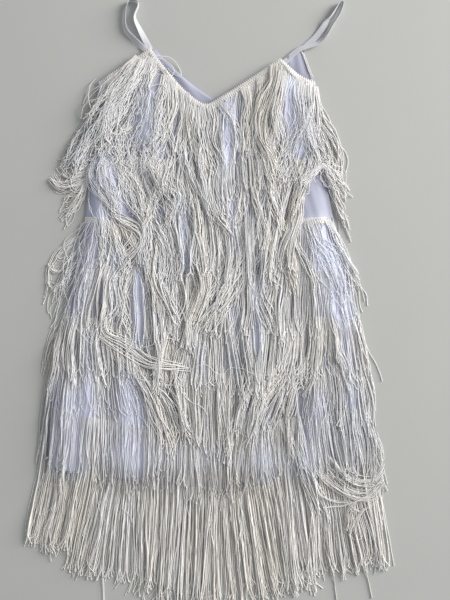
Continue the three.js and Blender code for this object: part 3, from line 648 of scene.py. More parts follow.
            (183, -249, 185, -266, 193, -276, 205, -284, 214, -279, 228, -270, 232, -258),
            (1, 1), 0.1, 0.3, 0.9,
        ),
        Lock(
            4,
            (143, -220, 152, -236, 166, -249, 184, -260, 204, -268, 222, -266, 233, -256),
            (2, 3), 0.1, 0.25, 0.9,
        ),
        Lock(3, (149, -258, 160, -266, 174, -271, 190, -272), (1, 2), 0.1, 0.25, 0.9),
        Lock(3, (156, -279, 170, -278, 182, -277, 196, -272, 212, -264, 226, -254), (1, 2), 0.1, 0.25, 0.9),
        Lock(4, (172, -226, 190, -240, 208, -246, 226, -240, 238, -222), (4, 3), 0.1, 0.15, 0.95),
        Lock(4, (158, -232, 174, -250, 194, -262, 216, -262, 236, -240), (4, 4), 0.1, 0.15, 0.95),
        Lock(9, (196, -270, 191, -293, 189, -314), (4, 6, 6), 0.5, 0.7),
        Lock(4, (211, -280, 200, -297, 194, -314), (2, 3, 4), 0.5, 0.5),
        Lock(1, (190, -315, 199, -322, 207, -321, 209, -316), (0, 0), 0.1, 0.15, 0.95),
        Lock(6, (226, -180, 234, -200, 236, -218), (4, 3, 2), 0.2),
    ),
    "fringe_hem_back": (
        Lock(5, (226, -262, 232, -287, 237, -312), (3, 3, 2), 0.2, 0.3),
        Lock(6, (218, -300, 228, -336, 236, -360), (5, 5, 4), 0.2, 0.3),
    ),
}

# The rows whose locks fell over the rows that are laid after them.
LATE_LOCKS = ("fringe_right_hem",)
FRIZZES: dict[str, tuple[Frizz, ...]] = {
    "fringe_neckline": (
        Frizz(34, -94, 300, 12, 18, -34, 18, 96),
        Frizz(30, -116, 262, 20, 20, -30, 26, 76),
        Frizz(34, -112, 216, 34, 14, -8, 52, 50),
        Frizz(20, -70, 218, 18, 16, 4, 50, 46),
        Frizz(44, -92, 202, 52, 9, -6, 56, 46),
        Frizz(16, -20, 206, 26, 9, 0, 24, 46),
        Frizz(14, -60, 262, 16, 22, -6, 26, 60),
        Frizz(14, -24, 226, 22, 20, 0, 20, 60),
        Frizz(14, 40, 232, 30, 20, 4, 20, 60),
        Frizz(14, 92, 236, 14, 30, 0, 20, 64),
        Frizz(18, 132, 240, 12, 30, 8, 26, 62),
        Frizz(16, 160, 182, 14, 16, 26, 50, 40),
        Frizz(12, 116, 196, 14, 10, -20, 34, 50),
    ),
    "fringe_tier_1": (
        Frizz(24, -114, 170, 26, 12, 16, 40, 64),
        Frizz(26, -66, 160, 24, 14, 8, 40, 62),
        Frizz(14, -20, 150, 20, 18, 4, 24, 60),
        Frizz(14, 30, 146, 24, 18, 0, 20, 60),
        Frizz(14, 82, 146, 20, 18, 0, 20, 60),
        Frizz(12, -138, 156, 8, 16, 16, 30, 50),
    ),
    "fringe_tier_2": (
        Frizz(16, -96, 66, 30, 18, 4, 22, 56),
        Frizz(16, -40, 56, 30, 20, 0, 20, 56),
        Frizz(18, 30, 50, 34, 22, -14, 20, 60),
        Frizz(12, 96, 60, 20, 20, 4, 20, 54),
        Frizz(10, 160, 60, 16, 20, 20, 14, 60),
        Frizz(10, -160, 60, 14, 20, -18, 12, 60),
    ),
    "fringe_tier_4": (
        Frizz(14, -110, -60, 34, 14, 26, 24, 58),
        Frizz(14, 90, -66, 34, 18, -14, 20, 58),
        Frizz(10, 160, -60, 16, 18, 14, 16, 58),
    ),
    "fringe_tier_6": (
        Frizz(16, -150, -240, 60, 30, -8, 10, 70),
        Frizz(16, 40, -260, 80, 40, 4, 10, 70),
    ),
}

STRAP_LEFT = (
    StrapStop(-91, 344, 3.2, 30),
    StrapStop(-100, 353, 3.8, 52),
    StrapStop(-108, 362, 4.2, 58),
    StrapStop(-111, 373, 4.4, 60),
    StrapStop(-110.5, 386, 4.6, 62),
    StrapStop(-108, 396, 4.8, 74),
    StrapStop(-104, 402.5, 4.8, 88),
    StrapStop(-95, 402.5, 4.8, 90),
    StrapStop(-92, 396, 4.8, 86),
    StrapStop(-96.5, 384, 4.8, 82),
    StrapStop(-96, 376, 4.4, 58),
    StrapStop(-90.5, 364, 3.4, 34),
    StrapStop(-84, 351, 1.4, 12),
)
STRAP_RIGHT = (
    StrapStop(122, 336, 3.2, 20),
    StrapStop(138, 342, 3.6, 30),
    StrapStop(151, 347, 3.8, 40),
    StrapStop(160, 356, 4.2, 62),
    StrapStop(168, 369, 4.6, 70),
    StrapStop(177, 384, 4.6, 60),
    StrapStop(182, 396, 4.8, 70),
    StrapStop(182.5, 400.5, 4.8, 90),
    StrapStop(178.5, 399, 4.8, 88),
    StrapStop(170.5, 386, 4.2, 76),
    StrapStop(165, 379, 4.0, 80),
    StrapStop(160, 372.5, 3.2, 26),
    StrapStop(154, 364, 2.4, 2),
    StrapStop(146, 354, 1.6, 0),
    StrapStop(136, 345, 0.9, 0),
)


@dataclass(frozen=True)
class ClothSizes:
    """The cloth's layers.

    Args:
        air: how far the front stands over the back, inside its edges.
        veiled: how much higher it stands in a veil.
        grain: size of its small unevenness.
        wall: thickness of the knit, as it shows.
        back_under: height of the back panel's underside over the floor.
        front_under: height of the front panel's underside where it lies flat.
        columns: points across the front panel.
        rows: points down the front panel.
        back_share: share of those points that the back panel has each way.
    """

    air: float = 4
    veiled: float = 3.5
    grain: float = 0.3
    wall: float = 0.9
    back_under: float = 0.15
    front_under: float = 2.0
    columns: int = 116
    rows: int = 150
    back_share: float = 0.7


@dataclass(frozen=True)
class CordSizes:
    """A chainette cord of the fringe.

    Args:
        radius: half its thickness.
        sides: faces round it.
        step: distance between two points along it.
        bend: steepest slope that a laid cord takes, as rise over run.
        settle: share of its thickness that a laid cord adds to the pile.
        sewn: length from the tape over which a row's cords lie side by side.
        highest: height that the pile doesn't pass.
        veil: share of its thickness that a cord loses where the row is thin.
        frayed: thickness of a cord's end, against the rest.
        slack: how far a cord may stray from its way when points that it doesn't need are left out.
    """

    radius: float = 0.55
    sides: int = 4
    step: float = 3.6
    bend: float = 0.22
    settle: float = 0.85
    sewn: float = 16.0
    highest: float = 26.0
    veil: float = 0.35
    frayed: float = 1.45
    slack: float = 0.2


@dataclass(frozen=True)
class Looseness:
    """How far the cords of a row stray at random. Leans are in degrees, the rest in mm.

    Args:
        wander: slow change of lean along the row and down it.
        longest: longest wave of that change.
        calm: share of the row, at each end, over which it fades.
        lean: lean of each cord.
        tip: turn of each cord's tip.
        sway: greatest sideways wave of a lock, against the row's own.
        waves: shortest and longest wave of a lock.
        drop: rise or fall of a lock's end.
        crimp: share of the row's crimp that a cord takes.
        bow: slow bend of each cord.
        stray: how far the few cords that stray end from their way.
        strays: share of the cords that stray.
        loft: how far a cord stands up from those under it.
    """

    wander: float = 5
    longest: float = 130
    calm: float = 0.12
    lean: float = 1.4
    tip: float = 24
    sway: float = 1.2
    waves: tuple[float, float] = (66, 120)
    drop: float = 2.5
    crimp: float = 0.62
    bow: float = 1.3
    stray: float = 12
    strays: float = 0.06
    loft: float = 0.25


@dataclass(frozen=True)
class Shades:
    """How the tone and warmth of the cords vary. All but the last four are shares.

    Args:
        warmth: slow change of warmth along a row.
        tone: the same, of tone.
        cord_warmth: change of warmth from cord to cord.
        cord_tone: the same, of tone.
        veiled: painted light: how far a cord in a veil is painted towards white.
        cooled: warmth that the lower rows lose at their sides.
        covered: painted shade: how much darker a cord is painted where its root is under the row above.
        shadow: length from such a root over which that painted shade fades.
        low: where the lower rows start, across the dress.
        middle: the middle of the part of them that keeps its warmth.
        half: half the width of that part.
    """

    warmth: float = 0.2
    tone: float = 0.22
    cord_warmth: float = 0.08
    cord_tone: float = 0.1
    veiled: float = 0.85
    cooled: float = 0.6
    covered: float = 0.25
    shadow: float = 26
    low: float = -90
    middle: float = 25
    half: float = 60


@dataclass(frozen=True)
class TapeSizes:
    """The crocheted tape that a fringe hangs from.

    Args:
        width: the tape's width.
        cord: radius of the cords along it.
        thread: radius of the thread that runs to and fro over them.
        pitch: distance between two of the thread's turns.
        picot: how far its loops stand past the upper edge.
        tone: 0 for grey to 1 for white.
        root: share of its width down to where the cords leave it.
        sink: how far it lies lower where it is covered in a veil.
        dark: its tone where it is covered.
    """

    width: float = 7.8
    cord: float = 0.62
    thread: float = 0.45
    pitch: float = 3.2
    picot: float = 0.0
    tone: float = 0.9
    root: float = 0.85
    sink: float = 3.2
    dark: float = 0.08


@dataclass(frozen=True)
class StrapSizes:
    """A shoulder strap's elastic band.

    Args:
        width: across the band.
        thick: through it.
        stations: points along it.
        corners: points across each half of it.
    """

    width: float = 8.0
    thick: float = 1.0
    stations: int = 150
    corners: int = 5


# ---------------------------------------------------------------- small tools


def smooth_step(t: Array) -> Array:
    """Eases 0 to 1.

    Args:
        t: any numbers; those outside 0 to 1 are cut off.

    Returns:
        The eased numbers.
    """
    t = np.clip(t, 0, 1)
    return t * t * (3 - 2 * t)


def columns_at(table: Sequence[NamedTuple], key: str, at: Array) -> dict[str, Array]:
    """Reads a table's number columns between its rows.

    Args:
        table: rows, ordered by the key column.
        key: name of the key column.
        at: where to read it.

    Returns:
        An array for each of the other columns.
    """
    keys = np.array([getattr(row, key) for row in table], float)
    order = np.argsort(keys)
    names = [n for n in table[0]._fields if n != key]
    rows = [table[i] for i in order]
    return {n: np.interp(at, keys[order], np.array([getattr(row, n) for row in rows], float)) for n in names}


def steps_of(points: Array) -> Array:
    """How far it is from each point of a polyline to the next.

    Args:
        points: the polyline, one row for each point.

    Returns:
        The distances.
    """
    return np.linalg.norm(np.diff(points, axis=0), axis=1)


def run_of(points: Array) -> Array:
    """How far along a polyline each of its points is.

    Args:
        points: the polyline, one row for each point.

    Returns:
        The distances, from 0.
    """
    return np.concatenate([[0.0], np.cumsum(steps_of(points))])


def along(points: Array, shares: Array) -> Array:
    """Points at shares of a polyline's length.

    Args:
        points: the polyline, one row for each point.
        shares: numbers from 0 to 1.

    Returns:
        One row for each share.
    """
    run = run_of(points)
    return np.stack([np.interp(shares * run[-1], run, column) for column in points.T], axis=1)


def unit(vectors: Array) -> Array:
    """Vectors brought to a length of one.

    Args:
        vectors: one row each.

    Returns:
        Their directions.
    """
    return vectors / np.maximum(np.linalg.norm(vectors, axis=1, keepdims=True), 1e-9)


def beside(line: Array) -> Array:
    """Directions square to a line, to its left.

    Args:
        line: its points in X and Y.

    Returns:
        A direction for each point.
    """
    flow = np.gradient(line, axis=0)
    return unit(np.stack([-flow[:, 1], flow[:, 0]], axis=1))


def walked(steps: Array) -> Array:
    """How far some cords have come at each of their points.

    Args:
        steps: each step's length one way, [cord, point]; the last one isn't taken.

    Returns:
        The distances, from 0.
    """
    return np.concatenate([np.zeros((len(steps), 1)), np.cumsum(steps[:, :-1], 1)], 1)


def smoothed(values: Array, window: Array) -> Array:
    """Numbers averaged with their neighbours.

    Args:
        values: the numbers.
        window: the neighbours' weights, an odd number of them.

    Returns:
        As many numbers.
    """
    return np.convolve(np.pad(values, len(window) // 2, mode="edge"), window, mode="valid")


def spline(points: Array, count: int) -> Array:
    """A smooth line through points.

    Args:
        points: the points to pass, one row each.
        count: how many points to return.

    Returns:
        The line's points, evenly spaced.
    """
    ends = np.vstack([2 * points[0] - points[1], points, 2 * points[-1] - points[-2]])
    fine = []
    for i in range(1, len(ends) - 2):
        a, b, c, d = ends[i - 1 : i + 3]
        t = np.linspace(0, 1, 24, endpoint=False)[:, None]
        fine.append(
            0.5 * (2 * b + (c - a) * t + (2 * a - 5 * b + 4 * c - d) * t**2 + (3 * b - a - 3 * c + d) * t**3)
        )
    fine.append(points[-1:])
    return along(np.vstack(fine), np.linspace(0, 1, count))


def edge_line(stretches: Sequence[Stretch], step: float = 2.0) -> Array:
    """A panel's upper edge, from underarm to underarm.

    Args:
        stretches: the edge's stretches, from the left.
        step: about how far apart the points are.

    Returns:
        The edge's points in X and Y.
    """
    points = [np.array(UNDERARM)]
    for x, y, bow in stretches:
        start, end = points[-1], np.array([x, y])
        run = end - start
        outwards = np.array([-run[1], run[0]]) / np.linalg.norm(run)
        count = max(2, int(np.linalg.norm(run) / step))
        for share in np.arange(1, count + 1) / count:
            points.append(start + run * share + outwards * bow * 4 * share * (1 - share))
    return np.array(points)


def offset(line: Array, down: Array | float, spread: int = 5) -> Array:
    """A line beside another.

    Args:
        line: points in X and Y, from the left.
        down: how far to move each point to the right of the way the line runs.
        spread: over how many points the way it runs is smoothed.

    Returns:
        The moved points.
    """
    window = np.ones(2 * spread + 1) / (2 * spread + 1)
    flow = unit(np.gradient(line, axis=0))
    flow = unit(np.stack([smoothed(column, window) for column in flow.T], axis=1))
    down = np.broadcast_to(np.asarray(down, float), len(line))
    return line + np.stack([flow[:, 1], -flow[:, 0]], axis=1) * down[:, None]


def needed_points(path: Array, slack: float) -> Array:
    """Which points a line needs to keep its shape.

    Args:
        path: the line's points.
        slack: how far it may stray.

    Returns:
        The numbers of the points to keep.
    """
    keep = {0, len(path) - 1}
    spans = [(0, len(path) - 1)]
    while spans:
        a, b = spans.pop()
        if b - a < 2:
            continue
        chord = path[b] - path[a]
        off = path[a + 1 : b] - path[a]
        share = np.clip(off @ chord / max(float(chord @ chord), 1e-9), 0, 1)
        stray = ((off - share[:, None] * chord) ** 2).sum(1)
        most = int(stray.argmax())
        if stray[most] > slack**2:
            keep.add(a + 1 + most)
            spans += [(a, a + 1 + most), (a + 1 + most, b)]
    return np.array(sorted(keep))


def draw_apart(x: Array, y: Array, partings: Sequence[Parting]) -> None:
    """Moves cords away from the lines where the cloth shows.

    Args:
        x: the cords' points across, [cord, point]; they are moved in place.
        y: the same, along.
        partings: the lines.
    """
    for p in partings:
        run = np.array([p.x1 - p.x0, p.y1 - p.y0])
        length = float(np.linalg.norm(run))
        ahead = run / length
        aside = np.array([ahead[1], -ahead[0]])
        share = ((x - p.x0) * ahead[0] + (y - p.y0) * ahead[1]) / length
        away = (x - p.x0) * aside[0] + (y - p.y0) * aside[1]
        inside = smooth_step((share + 0.25) / 0.45) * smooth_step((1.25 - share) / 0.45)
        near = inside * np.exp(-((away / (3 * p.width)) ** 2))
        weight = near.sum(1, keepdims=True)
        side = np.where((near * away).sum(1, keepdims=True) < 0, -1.0, 1.0)
        reach = p.width * inside
        moved = np.sqrt(np.maximum(side * away, 0) ** 2 + reach**2)
        shift = np.where(weight > 0.5, (side * moved - away) * np.exp(-((away / (4 * p.width)) ** 2)), 0)
        shift = np.where(reach > 0.01, shift, 0)
        x += shift * aside[0]
        y += shift * aside[1]


def tier_line(tier: Tier, count: int) -> Array:
    """A line across a panel that hangs lower in the middle.

    Args:
        tier: the line's height at the seams and its drop.
        count: how many points to return.

    Returns:
        The line's points in X and Y.
    """
    seam = columns_at(SEAMS, "y", np.array([tier.y]))
    share = np.linspace(0, 1, count)
    x = seam["left"] + (seam["right"] - seam["left"]) * share
    return np.stack([x, tier.y - tier.drop * 4 * share * (1 - share)], axis=1)


def relief(folds: Sequence[Fold], x: Array, y: Array) -> Array:
    """The height that folds add at points of a panel.

    Args:
        folds: the folds to add up.
        x: where, across.
        y: where, along.

    Returns:
        The heights.
    """
    total = np.zeros(np.broadcast(x, y).shape)
    for f in folds:
        run = np.array([f.x1 - f.x0, f.y1 - f.y0])
        length = float(np.linalg.norm(run))
        share = ((x - f.x0) * run[0] + (y - f.y0) * run[1]) / length**2
        away = np.abs((x - f.x0) * run[1] - (y - f.y0) * run[0]) / length
        past = np.maximum(0, np.maximum(-share, share - 1)) * length
        total += f.height * np.exp(-((away / f.width) ** 2)) * smooth_step(1 - past / 30)
    return total


class Ripple:
    """A smooth random wave in one number, made of a few sines.

    Args:
        rng: the random numbers it is made from.
        longest: the longest wave.
        waves: how many sines.
    """

    def __init__(self, rng: np.random.Generator, longest: float, waves: int = 4) -> None:
        self.rates = 2 * math.pi / (longest / (1 + np.arange(waves) * rng.uniform(0.6, 1.1, waves)))
        self.phases = rng.uniform(0, 2 * math.pi, waves)
        self.sizes = 1 / (1 + np.arange(waves))

    def at(self, where: Array) -> Array:
        """Reads the wave.

        Args:
            where: any array of places.

        Returns:
            The wave there, about -1 to 1.
        """
        where = np.asarray(where, float)[..., None]
        return (np.sin(where * self.rates + self.phases) * self.sizes).sum(-1) / self.sizes.sum() * 1.5


# ---------------------------------------------------------------- finishes


def wire(tree: NodeTree, node: Node, values: Inputs, feeds: Feeds) -> None:
    """Sets and links a node's inputs.

    Args:
        tree: the node's tree.
        node: the node.
        values: what its unlinked inputs are set to.
        feeds: the sockets that its other inputs are linked to.
    """
    for key, value in values.items():
        node.inputs[key].default_value = value
    for key, socket in feeds.items():
        tree.links.new(socket, node.inputs[key])


def add_node(tree: NodeTree, kind: str, values: Inputs, feeds: Feeds, **options: object) -> NodeOutputs:
    """Adds a node to a tree.

    Args:
        tree: the tree.
        kind: the node's type.
        values: what its unlinked inputs are set to.
        feeds: the sockets that its other inputs are linked to.
        options: its own options, which are set first.

    Returns:
        Its outputs.
    """
    node = tree.nodes.new(kind)
    for key, value in options.items():
        setattr(node, key, value)
    wire(tree, node, values, feeds)
    return node.outputs


def mixed(tree: NodeTree, share: NodeSocket, low: Colour, high: Colour) -> NodeSocket:
    """A blend of two colours.

    Args:
        tree: the material's tree.
        share: how much of the second colour.
        low: the first colour.
        high: the second.

    Returns:
        The blend's socket.
    """
    ends = {"A": (*low, 1), "B": (*high, 1)}
    return add_node(tree, "ShaderNodeMix", ends, {"Factor": share}, data_type="RGBA")["Result"]


def read_layer(tree: NodeTree, name: str) -> NodeSocket:
    """A mesh's own attribute, for its material.

    Args:
        tree: the material's tree.
        name: the attribute's name.

    Returns:
        The socket that gives it as a number.
    """
    return add_node(tree, "ShaderNodeAttribute", {}, {}, attribute_name=name)["Fac"]


def blotches(tree: NodeTree, scale: float, detail: float) -> NodeSocket:
    """Soft noise over an object.

    Args:
        tree: the material's tree.
        scale: how fine it is.
        detail: how many finer layers it has.

    Returns:
        The noise's socket.
    """
    place = add_node(tree, "ShaderNodeTexCoord", {}, {})["Object"]
    return add_node(tree, "ShaderNodeTexNoise", {"Scale": scale, "Detail": detail}, {"Vector": place})["Fac"]


def bumped(tree: NodeTree, height: NodeSocket, strength: float, depth: float) -> NodeSocket:
    """Small relief in a material.

    Args:
        tree: the material's tree.
        height: the socket that gives it.
        strength: how plainly it shows.
        depth: how deep it is, in mm.

    Returns:
        The socket of the surface's direction.
    """
    values = {"Strength": strength, "Distance": depth * MM}
    return add_node(tree, "ShaderNodeBump", values, {"Height": height})["Normal"]


def finish(name: str, dress: Callable[[NodeTree], tuple[Inputs, Feeds]]) -> Material:
    """Makes a material.

    Args:
        name: the material's name.
        dress: gives the values and the sockets for its shader's inputs.

    Returns:
        The material.
    """
    made = bpy.data.materials.new(name)
    made.use_nodes = True
    values, feeds = dress(made.node_tree)
    wire(made.node_tree, made.node_tree.nodes["Principled BSDF"], values, feeds)
    return made


@dataclass(frozen=True)
class CordFinish:
    """Off-white chainette cord.

    Args:
        light: the base colour of a clean cord.
        dark: the colour of the cords that are a little greyer.
        cool: the tint of the blue-white locks.
        warm: the tint of the cream locks.
        roughness: of its satin thread.
        sheen: soft light at grazing angles.
        gloss: its mirror-like light.
    """

    light: Colour = (0.9, 0.9, 0.895)
    dark: Colour = (0.64, 0.64, 0.64)
    cool: Colour = (0.94, 0.95, 1.0)
    warm: Colour = (1.0, 0.955, 0.885)
    roughness: float = 0.58
    sheen: float = 0.2
    gloss: float = 0.3

    def dress(self, tree: NodeTree) -> tuple[Inputs, Feeds]:
        """Builds the nodes, which read each cord's tone and warmth; these carry painted shade at covered
        roots and painted light in the veils.

        Args:
            tree: the material's tree.

        Returns:
            What its shader gets.
        """
        colours = {
            "A": mixed(tree, read_layer(tree, "tone"), self.dark, self.light),
            "B": mixed(tree, read_layer(tree, "warmth"), self.cool, self.warm),
        }
        options = {"data_type": "RGBA", "blend_type": "MULTIPLY"}
        tint = add_node(tree, "ShaderNodeMix", {"Factor": 1}, colours, **options)
        values = {"Roughness": self.roughness, "Sheen Weight": self.sheen, "Specular IOR Level": self.gloss}
        return values, {"Base Color": tint["Result"]}


@dataclass(frozen=True)
class KnitFinish:
    """Thin pale lilac stretch knit.

    Args:
        light: its colour.
        shade: the colour of its darker soft patches.
        roughness: of its surface.
        sheen: soft light at grazing angles.
        grain: size of the knit's grain.
        plain: how bright it is where it lies low, against its colour.
        raised: the same, where it lies high under thin fringe; this painted light makes the veils lighter
            than the rest.
        patches: how fine its soft patches of tone are.
    """

    light: Colour = (0.53, 0.545, 0.67)
    shade: Colour = (0.46, 0.475, 0.6)
    roughness: float = 0.6
    sheen: float = 0.08
    grain: float = 0.8
    plain: float = 0.81
    raised: float = 1.48
    patches: float = 38

    def dress(self, tree: NodeTree) -> tuple[Inputs, Feeds]:
        """Builds the nodes: a fine grain, soft patches of tone, and painted light that makes the cloth
        lighter where it is raised.

        Args:
            tree: the material's tree.

        Returns:
            What its shader gets.
        """
        mix = mixed(tree, blotches(tree, self.patches, 3), self.shade, self.light)
        # Painted light: the colour is scaled from plain to raised by how far the cloth lies in a veil.
        low_high = {"To Min": self.plain, "To Max": self.raised}
        bright = add_node(tree, "ShaderNodeMapRange", low_high, {"Value": read_layer(tree, "bloom")})
        feeds = {0: mix, "Scale": bright["Result"]}
        colour = add_node(tree, "ShaderNodeVectorMath", {}, feeds, operation="SCALE")["Vector"]
        place = add_node(tree, "ShaderNodeTexCoord", {}, {})["Object"]
        waves = {"Scale": 1 / (self.grain * MM) / (2 * math.pi), "Distortion": 1.5}
        ribs = add_node(tree, "ShaderNodeTexWave", waves, {"Vector": place})["Fac"]
        values = {"Roughness": self.roughness, "Sheen Weight": self.sheen}
        return values, {"Base Color": colour, "Normal": bumped(tree, ribs, 0.12, 0.2)}


@dataclass(frozen=True)
class ElasticFinish:
    """Woven elastic band with ribs along it.

    Args:
        colour: its colour.
        roughness: of its surface.
        ribs: ribs across the band.
        sheen: soft light at grazing angles.
    """

    colour: Colour = (0.62, 0.625, 0.665)
    roughness: float = 0.5
    ribs: float = 7.0
    sheen: float = 0.15

    def dress(self, tree: NodeTree) -> tuple[Inputs, Feeds]:
        """Builds the nodes, which read the band's own place across.

        Args:
            tree: the material's tree.

        Returns:
            What its shader gets.
        """
        turns = {1: self.ribs * 2 * math.pi}
        angle = add_node(tree, "ShaderNodeMath", turns, {0: read_layer(tree, "across")}, operation="MULTIPLY")
        wave = add_node(tree, "ShaderNodeMath", {}, {0: angle["Value"]}, operation="SINE")["Value"]
        values = {"Base Color": (*self.colour, 1), "Roughness": self.roughness, "Sheen Weight": self.sheen}
        return values, {"Normal": bumped(tree, wave, 0.4, 0.25)}


@dataclass(frozen=True)
class FloorFinish:
    """A plain, pale, slightly mottled floor.

    Args:
        light: its colour.
        dark: the colour of its darker patches.
        roughness: of its surface.
        gloss: its mirror-like light.
        patches: how fine its patches are.
    """

    light: Colour = (0.5, 0.503, 0.485)
    dark: Colour = (0.478, 0.481, 0.463)
    roughness: float = 0.75
    gloss: float = 0.2
    patches: float = 9

    def dress(self, tree: NodeTree) -> tuple[Inputs, Feeds]:
        """Builds the nodes.

        Args:
            tree: the material's tree.

        Returns:
            What its shader gets.
        """
        colour = mixed(tree, blotches(tree, self.patches, 5), self.dark, self.light)
        return {"Roughness": self.roughness, "Specular IOR Level": self.gloss}, {"Base Color": colour}


# ---------------------------------------------------------------- meshes


def new_object(name: str, mesh: Mesh) -> Object:
    """Puts a mesh in the scene.

    Args:
        name: the object's name.
        mesh: its mesh, already in place.

    Returns:
        The object, at the origin.
    """
    made = bpy.data.objects.new(name, mesh)
    bpy.context.scene.collection.objects.link(made)
    return made


def grid_mesh(name: str, top: Array, under: Array, material: Material) -> Mesh:
    """A closed shell between two grids of points.

    Args:
        name: the mesh's name.
        top: the upper points in mm, [row, column, XYZ], rows from the neck down and columns from the left.
        under: the lower points, in the same order.
        material: the shell's material.

    Returns:
        The mesh, in metres.
    """
    rows, columns = top.shape[:2]
    index = np.arange(rows * columns).reshape(rows, columns)
    lower = index + rows * columns

    def quads(a: Array, b: Array, c: Array, d: Array) -> Array:
        return np.stack([a.ravel(), b.ravel(), c.ravel(), d.ravel()], axis=1)

    faces = [
        quads(index[:-1, :-1], index[1:, :-1], index[1:, 1:], index[:-1, 1:]),
        quads(lower[:-1, :-1], lower[:-1, 1:], lower[1:, 1:], lower[1:, :-1]),
        quads(index[0, :-1], index[0, 1:], lower[0, 1:], lower[0, :-1]),
        quads(index[-1, 1:], index[-1, :-1], lower[-1, :-1], lower[-1, 1:]),
        quads(index[1:, 0], index[:-1, 0], lower[:-1, 0], lower[1:, 0]),
        quads(index[:-1, -1], index[1:, -1], lower[1:, -1], lower[:-1, -1]),
    ]
    mesh = bpy.data.meshes.new(name)
    points = np.concatenate([top.reshape(-1, 3), under.reshape(-1, 3)]) * MM
    mesh.from_pydata(points.tolist(), [], np.concatenate(faces).tolist())
    mesh.polygons.foreach_set("use_smooth", np.ones(len(mesh.polygons), bool))
    mesh.materials.append(material)
    mesh.update()
    return mesh


class CordSweep:
    """A Geometry Nodes tree that sweeps round cords along polylines."""

    def __init__(self) -> None:
        tree = bpy.data.node_groups.new("cord_sweep", "GeometryNodeTree")

        def socket(name: str, kind: str, way: str = "INPUT") -> str:
            made = tree.interface.new_socket(name, in_out=way, socket_type="NodeSocket" + kind)
            return made.identifier

        self.tree = tree
        asked = {"Paths": "Geometry", "Radius": "Float", "Sides": "Int", "Material": "Material"}
        self.identifiers = {name: socket(name, kind) for name, kind in asked.items()}
        socket("Cords", "Geometry", "OUTPUT")
        given = add_node(tree, "NodeGroupInput", {}, {})
        lines = add_node(tree, "GeometryNodeMeshToCurve", {}, {"Mesh": given["Paths"]})
        ring = {"Radius": given["Radius"], "Resolution": given["Sides"]}
        circle = add_node(tree, "GeometryNodeCurvePrimitiveCircle", {}, ring)
        thickness = add_node(
            tree, "GeometryNodeInputNamedAttribute", {"Name": "thickness"}, {}, data_type="FLOAT"
        )
        swept = {
            "Curve": lines["Curve"],
            "Profile Curve": circle["Curve"],
            "Scale": thickness["Attribute"],
        }
        tubes = add_node(tree, "GeometryNodeCurveToMesh", {"Fill Caps": True}, swept)
        shade = add_node(tree, "GeometryNodeSetShadeSmooth", {}, {"Geometry": tubes["Mesh"]})
        real = add_node(tree, "GeometryNodeRealizeInstances", {}, {"Geometry": shade["Geometry"]})
        dressed = {"Geometry": real["Geometry"], "Material": given["Material"]}
        finished = add_node(tree, "GeometryNodeSetMaterial", {}, dressed)
        add_node(tree, "NodeGroupOutput", {}, {"Cords": finished["Geometry"]})

    def sweep(self, name: str, runs: "CordRuns", radius: float, sides: int, material: Material) -> Object:
        """Sweeps cords into one plain mesh.

        Args:
            name: the object's name.
            runs: the cords' paths, with their thickness and tone.
            radius: half the thickness of a full cord.
            sides: faces round a cord.
            material: the cords' material.

        Returns:
            The object, with the tree applied.
        """
        mesh = bpy.data.meshes.new(name)
        points = np.concatenate(runs.paths) * MM
        starts = np.cumsum([0] + [len(p) for p in runs.paths])
        first = [np.arange(a, b - 1) for a, b in zip(starts[:-1], starts[1:])]
        edges = np.concatenate([np.stack([run, run + 1], axis=1) for run in first])
        mesh.from_pydata(points.tolist(), edges.tolist(), [])
        for key, values in (("thickness", runs.thickness), ("tone", runs.tones), ("warmth", runs.warmths)):
            layer = mesh.attributes.new(key, "FLOAT", "POINT")
            layer.data.foreach_set("value", np.concatenate(values).astype(np.float32))
        made = new_object(name, mesh)
        modifier = made.modifiers.new("sweep", "NODES")
        modifier.node_group = self.tree
        modifier[self.identifiers["Radius"]] = radius * MM
        modifier[self.identifiers["Sides"]] = sides
        modifier[self.identifiers["Material"]] = material
        graph = bpy.context.evaluated_depsgraph_get()
        swept = bpy.data.meshes.new_from_object(
            made.evaluated_get(graph), preserve_all_data_layers=True, depsgraph=graph
        )
        made.modifiers.clear()
        made.data = swept
        bpy.data.meshes.remove(mesh)
        swept.name = name
        return made


@dataclass
class CordRuns:
    """Cords as paths of points, each with a thickness, a tone and a warmth at every point.

    Args:
        paths: the cords' points in mm.
        thickness: shares of the full radius.
        tones: 0 for grey to 1 for white.
        warmths: 0 for blue-white to 1 for cream.
    """

    paths: list[Array] = field(default_factory=list)
    thickness: list[Array] = field(default_factory=list)
    tones: list[Array] = field(default_factory=list)
    warmths: list[Array] = field(default_factory=list)

    def add(self, path: Array, thickness: float | Array, tone: float | Array, warmth: float | Array) -> None:
        """Adds a cord.

        Args:
            path: its points in mm.
            thickness: share of the full radius, for all points or each.
            tone: 0 for grey to 1 for white, for all points or each.
            warmth: 0 for blue-white to 1 for cream, for all points or each.
        """
        self.paths.append(path)
        for kept, values in ((self.thickness, thickness), (self.tones, tone), (self.warmths, warmth)):
            kept.append(np.broadcast_to(values, len(path)).astype(float))


# ---------------------------------------------------------------- the pile


